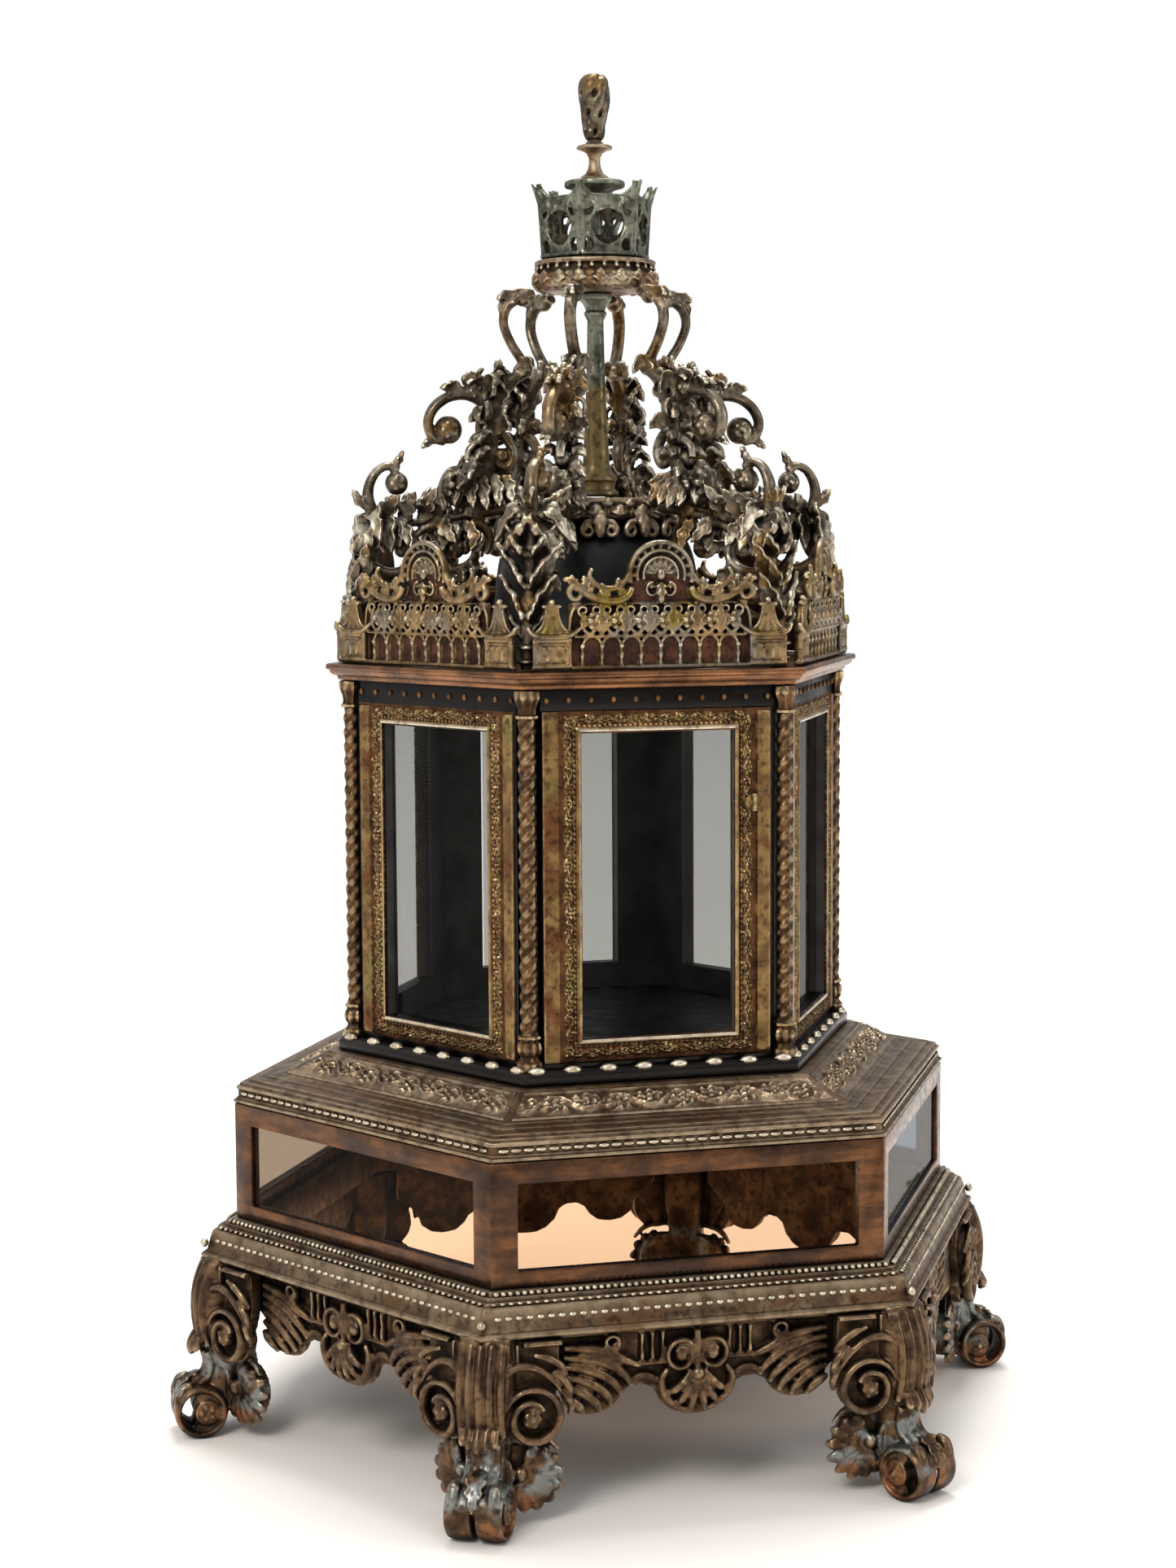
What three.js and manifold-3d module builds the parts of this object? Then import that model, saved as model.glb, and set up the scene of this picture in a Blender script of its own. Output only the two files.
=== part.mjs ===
// A six-sided glazed lantern case on a glazed plinth, with scroll feet, carved aprons, pierced cresting,
// six scroll ribs and a crown. Millimetres, +Z up, the door faces -Y, and the origin is on the table
// under the middle of the case.
import * as THREE from "three";
import { mergeVertices } from "three/addons/utils/BufferGeometryUtils.js";
import Module from "manifold-3d";

const wasm = await Module();
wasm.setup();

// ---- Driving dimensions. A radius of a six-sided part is measured to its corners. ----
const SIDES = 6;
const SECTOR = (2 * Math.PI) / SIDES;
const GAP = 0.3; // left between parts that touch

const FOOT_TOP = 78.6;
const TOE = { r: 185.5, z: 11.8, radius: 12, width: 25 };
const POST_WIDTH = 30;
// The two wings of a leg lie in the faces beside its corner. Places on them are (from the corner, height).
const WING = { corner: 184.5, thick: 9, length: 33.5 };
const ROSETTE = { s: 20.8, z: 47, radius: 13.2 };
const SHELL = { corner: 174, s: 15, z: 22, radius: 16, thick: 7 };

const APRON = { radius: 175, thick: 6, width: 114, top: FOOT_TOP };

const BASE = { bottom: 79, top: 96, outer: 183, inner: 157 };
const PLINTH = { bottom: 96.3, top: 147.5, outer: 167, wall: 5, stile: 11, railTop: 9, railBottom: 6.5 };
const PLINTH_CORNICE = { bottom: 147.8, top: 168.7, outer: 167.5 };
const FLOOR = { bottom: 169, top: 174.3, outer: 120.5 };

const LANTERN = { bottom: 174.6, top: 333.4, outer: 113, wall: 9.5 };
const WINDOW = { width: 66, bottom: 187, top: 315 };
const PANE = 2; // thickness of all the glass

const DOOR = { halfWidth: 49.8, bottom: 177, top: 324.3, thick: 4.5, back: 0.6, lip: 46, clearance: 1 };
const PIVOT = { inset: 1.2, depth: 1.3, pin: 0.6, bore: 0.9, lower: [174.9, 182], upper: [319, 329] };
const LATCH = { x: 41, z: 284.5, spindle: 1.7, bore: 2, knob: 3.4, grip: 3.8, reach: 9.5, camY: -88 };

const COLUMN = { r: 112, shaft: 4.2, cap: 5.2, notch: 5.6, baseHeight: 15, capHeight: 12 };

const ROOF = { bottom: 333.7, top: 341, outer: 123.5 };
const CRESTING = { radius: 118, thick: 2.6, halfWidth: 55.2, arch: 14, archZ: 39.5 };
const RIB_THICK = 6;
const DOME = { bottom: 341.3, top: 402.2, wall: 2 };
const PLATFORM = { bottom: 402.5, top: 413, radius: 41 };
const CENTRE_COLUMN = { bottom: 413.3, top: 502.9 };
const CROWN_RING = { bottom: 503.2, top: 517.3, radius: 28 };
const CROWN = { bottom: 517.6, height: 33, radius: 23, flare: 0.06, wall: 2.2 };
const CAP = { bottom: 549, top: 552.6, radius: 13.5 };
const FINIAL_TOP = 600;

// ---- Materials ----
const finish = (color, roughness, metalness) =>
  new THREE.MeshStandardMaterial({ color, roughness, metalness });
const GILT = finish(0x8a6a38, 0.42, 0.9);
const PALE = finish(0x8f8168, 0.5, 0.8);
const BROWN = finish(0x6a431f, 0.45, 0.6);
const BRONZE = finish(0x54463a, 0.5, 0.85);
const DARK = finish(0x24211e, 0.55, 0.6);
const GLASS = new THREE.MeshStandardMaterial({
  color: 0xdfe6e6,
  roughness: 0.06,
  metalness: 0,
  transparent: true,
  opacity: 0.3,
});

// ---- Solids ----
const apothem = (radius) => radius * Math.cos(Math.PI / SIDES);

// A geometry with merged vertices and its faces out, as a solid that can be joined and cut.
function solid(geometry) {
  const flat = geometry.index ? geometry.toNonIndexed() : geometry;
  const bare = new THREE.BufferGeometry().setAttribute("position", flat.getAttribute("position"));
  const merged = mergeVertices(bare, 1e-4);
  const index = Array.from(merged.index.array);
  const triVerts = [];
  for (let i = 0; i < index.length; i += 3) {
    const [a, b, c] = index.slice(i, i + 3);
    if (a !== b && b !== c && c !== a) triVerts.push(a, b, c);
  }
  const build = (order) => {
    const mesh = { numProp: 3, vertProperties: merged.attributes.position.array };
    return new wasm.Manifold(new wasm.Mesh({ ...mesh, triVerts: new Uint32Array(order) }));
  };
  const made = build(triVerts);
  return made.volume() >= 0 ? made : build(triVerts.reverse());
}

function geometryOf(body) {
  const { vertProperties, triVerts } = body.getMesh();
  const geometry = new THREE.BufferGeometry();
  geometry.setAttribute("position", new THREE.BufferAttribute(new Float32Array(vertProperties), 3));
  geometry.setIndex(new THREE.BufferAttribute(new Uint32Array(triVerts), 1));
  geometry.computeVertexNormals();
  return geometry;
}

const join = (...bodies) => bodies.reduce((sum, body) => sum.add(body));

// A profile of (radius, height) points turned round the Z axis. It starts and ends on the axis or closes.
function turned(profile, segments, start = 0) {
  const points = profile.map(([r, z]) => new THREE.Vector2(r, z));
  const geometry = new THREE.LatheGeometry(points, segments, start);
  return solid(geometry.rotateX(Math.PI / 2));
}

// A profile of (corner radius, height) points made six-sided, with corners on the +X and -X axes.
const sixSided = (profile) => turned(profile, SIDES, Math.PI / 2);

const closed = (profile) => [...profile, profile[0]];

function outline(points) {
  return new THREE.Shape(points.map(([x, z]) => new THREE.Vector2(x, z)));
}

// A shape drawn in the XZ plane with a thickness along Y, centred on y.
function plate(shape, thick, y = 0, curveSegments = 4) {
  const geometry = new THREE.ExtrudeGeometry(shape, { depth: thick, bevelEnabled: false, curveSegments });
  geometry.rotateX(Math.PI / 2);
  geometry.translate(0, y + thick / 2, 0);
  return solid(geometry);
}

function block(x0, x1, y0, y1, z0, z1) {
  const geometry = new THREE.BoxGeometry(x1 - x0, y1 - y0, z1 - z0);
  return solid(geometry.translate((x0 + x1) / 2, (y0 + y1) / 2, (z0 + z1) / 2));
}

function cylinderZ(x, y, z0, z1, radius, segments = 12) {
  const geometry = new THREE.CylinderGeometry(radius, radius, z1 - z0, segments);
  geometry.rotateX(Math.PI / 2);
  return solid(geometry.translate(x, y, (z0 + z1) / 2));
}

function cylinderY(x, z, y0, y1, radius, segments = 12) {
  const geometry = new THREE.CylinderGeometry(radius, radius, y1 - y0, segments);
  return solid(geometry.translate(x, (y0 + y1) / 2, z));
}

// A disc in the XZ plane with a thickness along Y.
const disc = (x, z, radius, thick, segments = 10) =>
  cylinderY(x, z, -thick / 2, thick / 2, radius, segments);

// The outline of a band of changing width along a smooth curve through the points.
function band(points, widthStart, widthEnd, samples) {
  const curve = new THREE.SplineCurve(points.map(([x, z]) => new THREE.Vector2(x, z)));
  const left = [];
  const right = [];
  for (let i = 0; i <= samples; i += 1) {
    const t = i / samples;
    const at = curve.getPoint(t);
    const along = curve.getTangent(t);
    const half = THREE.MathUtils.lerp(widthStart, widthEnd, t) / 2;
    left.push([at.x - along.y * half, at.y + along.x * half]);
    right.push([at.x + along.y * half, at.y - along.x * half]);
  }
  return outline([...left, ...right.reverse()]);
}

const rectangle = (x, z, width, height) => [
  [x - width / 2, z - height / 2],
  [x + width / 2, z - height / 2],
  [x + width / 2, z + height / 2],
  [x - width / 2, z + height / 2],
];

// Points along a spiral round (x, z), from one radius and angle to another.
function spiral(x, z, from, to, startDegrees, endDegrees, count) {
  return Array.from({ length: count + 1 }, (_, i) => {
    const t = i / count;
    const radius = THREE.MathUtils.lerp(from, to, t);
    const angle = THREE.MathUtils.degToRad(THREE.MathUtils.lerp(startDegrees, endDegrees, t));
    return [x + radius * Math.cos(angle), z + radius * Math.sin(angle)];
  });
}

// ---- Placing ----
const root = new THREE.Group();

function add(name, geometry, material, parent = root) {
  const mesh = new THREE.Mesh(geometry, material);
  mesh.name = name;
  parent.add(mesh);
}

function turnedGroup(angle) {
  const group = new THREE.Group();
  group.rotation.z = angle;
  root.add(group);
  return group;
}

// One copy on each face. A face piece is drawn on the front face, whose outward direction is -Y.
function addOnFaces(name, body, material, faces = [0, 1, 2, 3, 4, 5]) {
  const geometry = geometryOf(body);
  faces.forEach((face) => add(`${name}_${face + 1}`, geometry, material, turnedGroup(face * SECTOR)));
}

// One copy at each corner. A corner piece is drawn with its outward direction along +X.
function addAtCorners(name, body, material) {
  const geometry = geometryOf(body);
  for (let corner = 0; corner < SIDES; corner += 1) {
    const group = turnedGroup((corner - 1) * SECTOR);
    add(`${name}_${corner + 1}`, geometry, material, group);
  }
}

// ---- Feet and aprons ----
// A form drawn in the XZ plane, put in the face beside a corner: X runs along the face from that corner.
function onWing(body, corner, side) {
  const geometry = geometryOf(body);
  geometry.rotateZ(Math.PI / 2 + Math.PI / SIDES);
  if (side < 0) geometry.scale(1, -1, 1);
  return solid(geometry.translate(corner, 0, 0));
}

function leg() {
  const side = outline([
    [156, FOOT_TOP],
    [158, 50],
    [160, 33],
    [164, 22],
    [169, 12],
    [176, 6],
    [186, 6],
    [188, 16],
    [182, 22],
    [180, 29],
    [183, 38],
    [186, 47],
    [187.5, 57],
    [186, 67],
    [182, FOOT_TOP],
  ]);
  const half = POST_WIDTH / 2;
  const front = outline([
    [-half, FOOT_TOP],
    [-half, 44],
    [-11, 32],
    [-11, 5],
    [11, 5],
    [11, 32],
    [half, 44],
    [half, FOOT_TOP],
  ]);
  const stance = new THREE.ExtrudeGeometry(front, { depth: 60, bevelEnabled: false });
  stance.rotateX(Math.PI / 2);
  stance.rotateZ(Math.PI / 2);
  stance.translate(140, 0, 0);
  const post = plate(side, POST_WIDTH + 2).intersect(solid(stance));
  const wings = [-1, 1].flatMap((way) => [
    onWing(wing(), WING.corner, way),
    onWing(disc(SHELL.s, SHELL.z, SHELL.radius, SHELL.thick, 14), SHELL.corner, way),
  ]);
  return join(post, ...wings, toe());
}

// The bracket under the plinth, with the round pad of its rosette. Its front is the face itself.
function wing() {
  const bracket = outline([
    [2, FOOT_TOP],
    [2, 40],
    [ROSETTE.s, 36],
    [WING.length, 56],
    [WING.length, FOOT_TOP],
  ]);
  const pad = cylinderY(ROSETTE.s, ROSETTE.z, -1, WING.thick, ROSETTE.radius, 16);
  return join(plate(bracket, WING.thick, WING.thick / 2), pad);
}

// The scroll that the leg stands on: a flattened disc with a crescent opening round its inner turn.
function toe() {
  const whole = disc(TOE.r, TOE.z, TOE.radius, TOE.width, 20);
  const crescent = band(spiral(TOE.r - 1, TOE.z + 0.5, 7.2, 7.4, -62, 62, 7), 3.2, 3.6, 7);
  const ground = block(TOE.r - 20, TOE.r + 20, -20, 20, -10, 0);
  return whole.subtract(plate(crescent, TOE.width + 2)).subtract(ground);
}

// A carved skirt with a deep round middle lobe and a lobe at each end.
function apron() {
  const half = APRON.width / 2;
  const shape = new THREE.Shape();
  shape.moveTo(-half, APRON.top);
  shape.lineTo(-half, 54);
  shape.quadraticCurveTo(-half + 2, 43, -44, 42.5);
  shape.quadraticCurveTo(-33, 43, -31, 51);
  shape.quadraticCurveTo(-26, 55, -17, 51);
  shape.quadraticCurveTo(-14, 40, 0, 39);
  shape.quadraticCurveTo(14, 40, 17, 51);
  shape.quadraticCurveTo(26, 55, 31, 51);
  shape.quadraticCurveTo(33, 43, 44, 42.5);
  shape.quadraticCurveTo(half - 2, 43, half, 54);
  shape.lineTo(half, APRON.top);
  return plate(shape, APRON.thick, -apothem(APRON.radius) + APRON.thick / 2);
}

// ---- Plinth ----
const baseMoulding = () =>
  sixSided(
    closed([
      [BASE.inner, BASE.bottom],
      [BASE.outer, BASE.bottom],
      [BASE.outer, 81],
      [181.4, 82.2],
      [177.2, 91.5],
      [174.6, 92.2],
      [172, 93],
      [172, 94.4],
      [169.5, 94.8],
      [169.5, BASE.top],
      [BASE.inner, BASE.top],
    ]),
  );

// The width along the front face of a six-sided wall with this corner radius is that radius.
function plinthFrame() {
  const inner = PLINTH.outer - PLINTH.wall / Math.cos(Math.PI / SIDES);
  const wall = sixSided(
    closed([
      [inner, PLINTH.bottom],
      [PLINTH.outer, PLINTH.bottom],
      [PLINTH.outer, PLINTH.top],
      [inner, PLINTH.top],
    ]),
  );
  const half = PLINTH.outer / 2 - PLINTH.stile;
  const across = apothem(PLINTH.outer) + 10;
  const z0 = PLINTH.bottom + PLINTH.railBottom;
  const z1 = PLINTH.top - PLINTH.railTop;
  return cutFaces(wall, () => block(-half, half, -across, -across + 30, z0, z1), [0, 1, 2, 3, 4, 5]);
}

// Cuts the same opening, drawn on the front face, out of several faces.
function cutFaces(body, cutter, faces) {
  return faces.reduce((rest, face) => {
    const geometry = geometryOf(cutter()).rotateZ(face * SECTOR);
    return rest.subtract(solid(geometry));
  }, body);
}

function plinthGlass() {
  const half = PLINTH.outer / 2 - PLINTH.stile - GAP;
  const y = -apothem(PLINTH.outer) + PLINTH.wall / 2;
  const z0 = PLINTH.bottom + PLINTH.railBottom + GAP;
  return block(-half, half, y - PANE / 2, y + PANE / 2, z0, PLINTH.top - PLINTH.railTop - GAP);
}

const plinthCornice = () =>
  sixSided([
    [0, 163.5],
    [122, 163.5],
    [143, 153.4],
    [157, 152.6],
    [157, PLINTH_CORNICE.bottom],
    [PLINTH_CORNICE.outer, PLINTH_CORNICE.bottom],
    [PLINTH_CORNICE.outer, 149.4],
    [165.8, 150.4],
    [165.8, 156.4],
    [164, 157.3],
    [146.5, 158.6],
    [124.8, PLINTH_CORNICE.top],
    [0, PLINTH_CORNICE.top],
  ]);

// ---- Lantern ----
const lanternFloor = () =>
  sixSided([
    [0, FLOOR.bottom],
    [FLOOR.outer, FLOOR.bottom],
    [FLOOR.outer, FLOOR.top - 1.2],
    [FLOOR.outer - 1.4, FLOOR.top],
    [0, FLOOR.top],
  ]);

const lanternInner = LANTERN.outer - LANTERN.wall / Math.cos(Math.PI / SIDES);
const faceY = -apothem(LANTERN.outer);
const doorBack = faceY + DOOR.thick + DOOR.back;
const pivotX = -DOOR.halfWidth + PIVOT.inset;
const pivotY = faceY + PIVOT.depth;

// The holes for the two pins that the door turns on, hidden in its top and bottom edges.
const pivotBore = () => cylinderZ(pivotX, pivotY, LANTERN.bottom - 1, PIVOT.upper[1] + GAP, PIVOT.bore, 10);

function lanternCage() {
  const wall = sixSided(
    closed([
      [lanternInner, LANTERN.bottom],
      [LANTERN.outer, LANTERN.bottom],
      [LANTERN.outer, LANTERN.top],
      [lanternInner, LANTERN.top],
    ]),
  );
  const half = WINDOW.width / 2;
  const windowCut = () => block(-half, half, faceY - 10, faceY + 20, WINDOW.bottom, WINDOW.top);
  let body = cutFaces(wall, windowCut, [1, 2, 3, 4, 5]);
  const opening = DOOR.halfWidth + DOOR.clearance;
  const z0 = DOOR.bottom - GAP;
  const z1 = DOOR.top + GAP;
  body = body.subtract(block(-opening, opening, faceY - 10, doorBack, z0, z1));
  body = body.subtract(block(-DOOR.lip, DOOR.lip, faceY - 10, faceY + 20, z0 + 3.5, z1 - 3.5));
  for (let corner = 0; corner < SIDES; corner += 1) {
    const angle = corner * SECTOR;
    const x = COLUMN.r * Math.cos(angle);
    const y = COLUMN.r * Math.sin(angle);
    body = body.subtract(cylinderZ(x, y, LANTERN.bottom - 5, LANTERN.top + 5, COLUMN.notch, 16));
  }
  return body.subtract(pivotBore());
}

function pane(depth) {
  const half = WINDOW.width / 2 - GAP;
  const y = faceY + depth;
  return block(-half, half, y - PANE / 2, y + PANE / 2, WINDOW.bottom + GAP, WINDOW.top - GAP);
}

function doorFrame() {
  const half = WINDOW.width / 2;
  const { halfWidth, thick, bottom, top } = DOOR;
  const leaf = block(-halfWidth, halfWidth, faceY, faceY + thick, bottom, top);
  const glazed = leaf.subtract(block(-half, half, faceY - 5, faceY + 20, WINDOW.bottom, WINDOW.top));
  const bores = [PIVOT.lower, PIVOT.upper].map(([z0, z1]) =>
    cylinderZ(pivotX, pivotY, z0 - GAP, z1 + GAP, PIVOT.bore, 10),
  );
  const spindle = cylinderY(LATCH.x, LATCH.z, faceY - 5, faceY + 20, LATCH.bore, 14);
  return glazed.subtract(join(...bores, spindle));
}

const pivotPin = ([z0, z1]) => cylinderZ(pivotX, pivotY, z0, z1, PIVOT.pin, 8);

// A thumb turn on the door's stile, with its spindle through the stile and a cam behind it.
function latch() {
  const { x, z, grip } = LATCH;
  const rose = cylinderY(x, z, faceY - 2.4, faceY - GAP, LATCH.knob, 16);
  const spindle = cylinderY(x, z, faceY - 3, LATCH.camY + 1.5, LATCH.spindle, 12);
  const bow = block(x - 1.2, x + 1.2, faceY - 5.6, faceY - 1.5, z - grip, z + grip);
  const cam = block(x - 2, x + 2, LATCH.camY, LATCH.camY + 1.5, z - LATCH.reach, z + 2.5);
  return join(rose, spindle, bow, cam);
}

function column() {
  const { bottom, top } = LANTERN;
  const base = bottom + COLUMN.baseHeight;
  const cap = top - COLUMN.capHeight;
  return turned(
    [
      [0, bottom],
      [COLUMN.cap, bottom],
      [COLUMN.cap, bottom + 4],
      [COLUMN.shaft - 0.4, bottom + 6],
      [COLUMN.cap - 0.2, base - 4],
      [COLUMN.cap - 0.2, base - 2],
      [COLUMN.shaft, base],
      [COLUMN.shaft, cap],
      [COLUMN.cap - 0.3, cap + 1.5],
      [COLUMN.shaft - 0.2, cap + 4],
      [COLUMN.cap, top - 3],
      [COLUMN.cap, top],
      [0, top],
    ],
    12,
  );
}

// ---- Roof ----
const roofPlate = () =>
  sixSided([
    [0, ROOF.bottom],
    [118, ROOF.bottom],
    [118.6, 335.6],
    [121.2, 336.8],
    [122, 338.2],
    [ROOF.outer, 338.8],
    [ROOF.outer, ROOF.top - 0.6],
    [ROOF.outer - 0.8, ROOF.top],
    [0, ROOF.top],
  ]);

// A pierced strip: an arcade under a rail, a flared roof at each end and an arched pediment in the middle.
function cresting() {
  const base = ROOF.top + GAP;
  const half = CRESTING.halfWidth;
  const { arch, archZ } = CRESTING;
  const shape = new THREE.Shape();
  shape.moveTo(-half, 0);
  shape.lineTo(half, 0);
  shape.lineTo(half, 11);
  shape.lineTo(half + 2, 13);
  shape.quadraticCurveTo(52, 17, 50, 27);
  shape.lineTo(43.5, 27);
  shape.lineTo(38, 36.5);
  shape.quadraticCurveTo(26, 29, arch + 1, 31.5);
  shape.lineTo(arch, archZ);
  shape.absarc(0, archZ, arch, 0, Math.PI, false);
  shape.lineTo(-arch - 1, 31.5);
  shape.quadraticCurveTo(-26, 29, -38, 36.5);
  shape.lineTo(-43.5, 27);
  shape.lineTo(-50, 27);
  shape.quadraticCurveTo(-52, 17, -half - 2, 13);
  shape.lineTo(-half, 11);
  let body = plate(shape, CRESTING.thick);
  const pierce = (points) => {
    body = body.subtract(plate(outline(points), CRESTING.thick + 4));
  };
  const bays = 8;
  const pitch = 8.4;
  for (let i = 0; i < bays; i += 1) {
    const x = (i - (bays - 1) / 2) * pitch;
    pierce([
      [x - 2.4, 2.5],
      [x + 2.4, 2.5],
      [x + 2.4, 9],
      [x, 11.5],
      [x - 2.4, 9],
    ]);
  }
  for (const x of [-30, -20, -10, 0, 10, 20, 30]) pierce(spiral(x, 20, 3.6, 3.6, 0, 300, 5));
  for (const x of [-46.5, 46.5]) pierce(rectangle(x, 5.2, 4.4, 5.6));
  pierce(spiral(0, archZ - 1, 8, 8, 10, 170, 6));
  const geometry = geometryOf(body);
  return solid(geometry.translate(0, -apothem(CRESTING.radius), base));
}

// The strokes of a rib in (radius, height): post, bar, two large volutes, trunk, crown arm and small scrolls.
const STROKES = [
  { line: [[109, 341.3], [109, 356], [107.5, 370], [103, 386], [99.5, 401]], width: [8, 6.4], samples: 5 },
  { line: [[101, 402], [86, 401.5], [72, 403], [56, 405.6], [41.8, 408]], width: [5.4, 5], samples: 4 },
  {
    line: [[90, 401.5], [97, 404.5], [101.6, 411], [102.2, 418.5], [98.5, 425.5], [93, 429], [87.5, 433]],
    width: [5.4, 2.8],
    samples: 10,
  },
  {
    line: [[58, 404], [57.5, 418], [52, 432], [49, 446], [47, 457], [41, 465.5], [33.5, 469.5]],
    width: [12, 6.4],
    samples: 8,
  },
  {
    line: [[47, 450], [54, 456.5], [61, 457.5], [68, 455.5], [73, 451], [75.6, 444], [77.6, 436.5]],
    width: [5.6, 2.8],
    samples: 10,
  },
  { line: [[35, 467.5], [37.5, 476], [42.4, 488], [39, 498], [28.8, 503.6]], width: [5, 4.6], samples: 8 },
  { line: [[56, 411], [64, 412.5], [69, 419], [65, 425]], width: [5.6, 4], samples: 4 },
  { line: [[104, 384], [94, 381], [84, 386], [81, 394], [86, 401]], width: [5.6, 4.6], samples: 5 },
];

function rib() {
  const strips = STROKES.map(({ line, width, samples }) => plate(band(line, ...width, samples), RIB_THICK));
  const knobs = [
    [93, 421, 6.6],
    [69, 444.8, 6.6],
    [100, 402.5, 4.6],
    [62.5, 424, 4.5],
    [54.5, 459, 4.6],
  ];
  const bosses = knobs.map(([x, z, radius]) => disc(x, z, radius, RIB_THICK, 8));
  const body = join(...strips, ...bosses);
  const roof = block(90, 130, -10, 10, 330, ROOF.top + GAP);
  return body.subtract(roof);
}

function innerDome() {
  const wall = DOME.wall;
  return turned(
    [
      [0, DOME.top],
      [28, DOME.top],
      [36, 399.5],
      [41, 394],
      [44, 384],
      [46, 368],
      [50, 352],
      [56, DOME.bottom],
      [56 - wall, DOME.bottom],
      [50 - wall, 351.5],
      [46 - wall, 367.5],
      [44 - wall, 383.5],
      [41 - wall, 393],
      [35, 397.6],
      [28, DOME.top - wall],
      [0, DOME.top - wall],
    ],
    24,
  );
}

const platform = () =>
  turned(
    [
      [0, PLATFORM.bottom],
      [PLATFORM.radius - 4, PLATFORM.bottom],
      [PLATFORM.radius - 1, 404.5],
      [PLATFORM.radius, 407],
      [PLATFORM.radius - 1.5, 409.5],
      [PLATFORM.radius - 2, 411.5],
      [PLATFORM.radius - 5, PLATFORM.top],
      [0, PLATFORM.top],
    ],
    24,
  );

const centreColumn = () =>
  turned(
    [
      [0, CENTRE_COLUMN.bottom],
      [10, CENTRE_COLUMN.bottom],
      [10, 415.5],
      [8.4, 417],
      [8.4, 420],
      [9.2, 421.5],
      [8, 423.5],
      [6, 427],
      [5, 440],
      [3.8, 470],
      [3.6, 492],
      [5.4, 496],
      [5.4, 499],
      [7.5, CENTRE_COLUMN.top],
      [0, CENTRE_COLUMN.top],
    ],
    16,
  );

const crownRing = () =>
  turned(
    [
      [0, CROWN_RING.bottom],
      [21, CROWN_RING.bottom],
      [26.5, 505.5],
      [CROWN_RING.radius, 508.5],
      [27, 511.5],
      [25, 513],
      [26.8, 514.6],
      [26.8, CROWN_RING.top],
      [0, CROWN_RING.top],
    ],
    24,
  );

// Six leaning pierced panels that meet at the corners, each with two flared points.
function crown() {
  const panel = new THREE.Shape();
  panel.moveTo(-11.4, 0);
  panel.lineTo(11.4, 0);
  panel.lineTo(12, 16);
  panel.quadraticCurveTo(12.2, 24, 13.6, CROWN.height);
  panel.quadraticCurveTo(8, 29, 6.8, 25);
  panel.quadraticCurveTo(0, 29, -6.8, 25);
  panel.quadraticCurveTo(-8, 29, -13.6, CROWN.height);
  panel.quadraticCurveTo(-12.2, 24, -12, 16);
  const eye = plate(outline(spiral(0, 14.5, 6.6, 6.6, 0, 320, 8)), 10);
  const flat = plate(panel, CROWN.wall, 0, 2).subtract(eye);
  const leaning = geometryOf(flat);
  leaning.rotateX(CROWN.flare);
  leaning.translate(0, -apothem(CROWN.radius) + CROWN.wall, CROWN.bottom + 0.3);
  const panels = Array.from({ length: SIDES }, (_, i) => solid(leaning.clone().rotateZ(i * SECTOR)));
  const hoop = sixSided(
    closed([
      [CROWN.radius - 4, CROWN.bottom],
      [CROWN.radius + 1, CROWN.bottom],
      [CROWN.radius + 1, CROWN.bottom + 3],
      [CROWN.radius - 4, CROWN.bottom + 3],
    ]),
  );
  const below = block(-40, 40, -40, 40, CROWN.bottom - 10, CROWN.bottom);
  return join(hoop, ...panels).subtract(below);
}

const crownCap = () =>
  turned(
    [
      [0, CROWN.bottom + GAP],
      [7, CROWN.bottom + GAP],
      [4, CROWN.bottom + 4],
      [3.4, CAP.bottom - 3],
      [9, CAP.bottom],
      [CAP.radius, CAP.bottom + 1],
      [CAP.radius, CAP.top - 0.8],
      [CAP.radius - 2, CAP.top],
      [0, CAP.top],
    ],
    18,
  );

const finial = () =>
  turned(
    [
      [0, CAP.top + GAP],
      [7, CAP.top + GAP],
      [5, 555],
      [2.6, 558],
      [2.4, 563],
      [4.5, 565.6],
      [8, 566.6],
      [8, 567.8],
      [3.4, 569.4],
      [2.8, 571.5],
      [5.2, 575],
      [7, 581],
      [7.4, 588],
      [6.6, 594.5],
      [4, 598.8],
      [0, FINIAL_TOP],
    ],
    14,
  );

// ---- Assembly ----
addAtCorners("leg", leg(), BRONZE);
addOnFaces("apron", apron(), BRONZE);
add("base_moulding", geometryOf(baseMoulding()), PALE);
add("plinth_frame", geometryOf(plinthFrame()), BROWN);
addOnFaces("plinth_glass", plinthGlass(), GLASS);
add("plinth_cornice", geometryOf(plinthCornice()), PALE);
add("lantern_floor", geometryOf(lanternFloor()), DARK);
add("lantern_cage", geometryOf(lanternCage()), GILT);
addOnFaces("lantern_glass", pane(LANTERN.wall / 2), GLASS, [1, 2, 3, 4, 5]);
add("door_frame", geometryOf(doorFrame()), GILT);
add("door_glass", geometryOf(pane(DOOR.thick / 2)), GLASS);
add("pivot_pin_lower", geometryOf(pivotPin(PIVOT.lower)), BRONZE);
add("pivot_pin_upper", geometryOf(pivotPin(PIVOT.upper)), BRONZE);
add("latch_knob", geometryOf(latch()), GILT);
addAtCorners("column", solid(geometryOf(column()).translate(COLUMN.r, 0, 0)), GILT);
add("roof_plate", geometryOf(roofPlate()), BROWN);
addOnFaces("cresting", cresting(), GILT);
addAtCorners("rib", rib(), BRONZE);
add("inner_dome", geometryOf(innerDome()), DARK);
add("platform", geometryOf(platform()), BRONZE);
add("centre_column", geometryOf(centreColumn()), BRONZE);
add("crown_ring", geometryOf(crownRing()), BRONZE);
add("crown", geometryOf(crown()), BRONZE);
add("crown_cap", geometryOf(crownCap()), BRONZE);
add("finial", geometryOf(finial()), BRONZE);

export default root;
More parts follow.
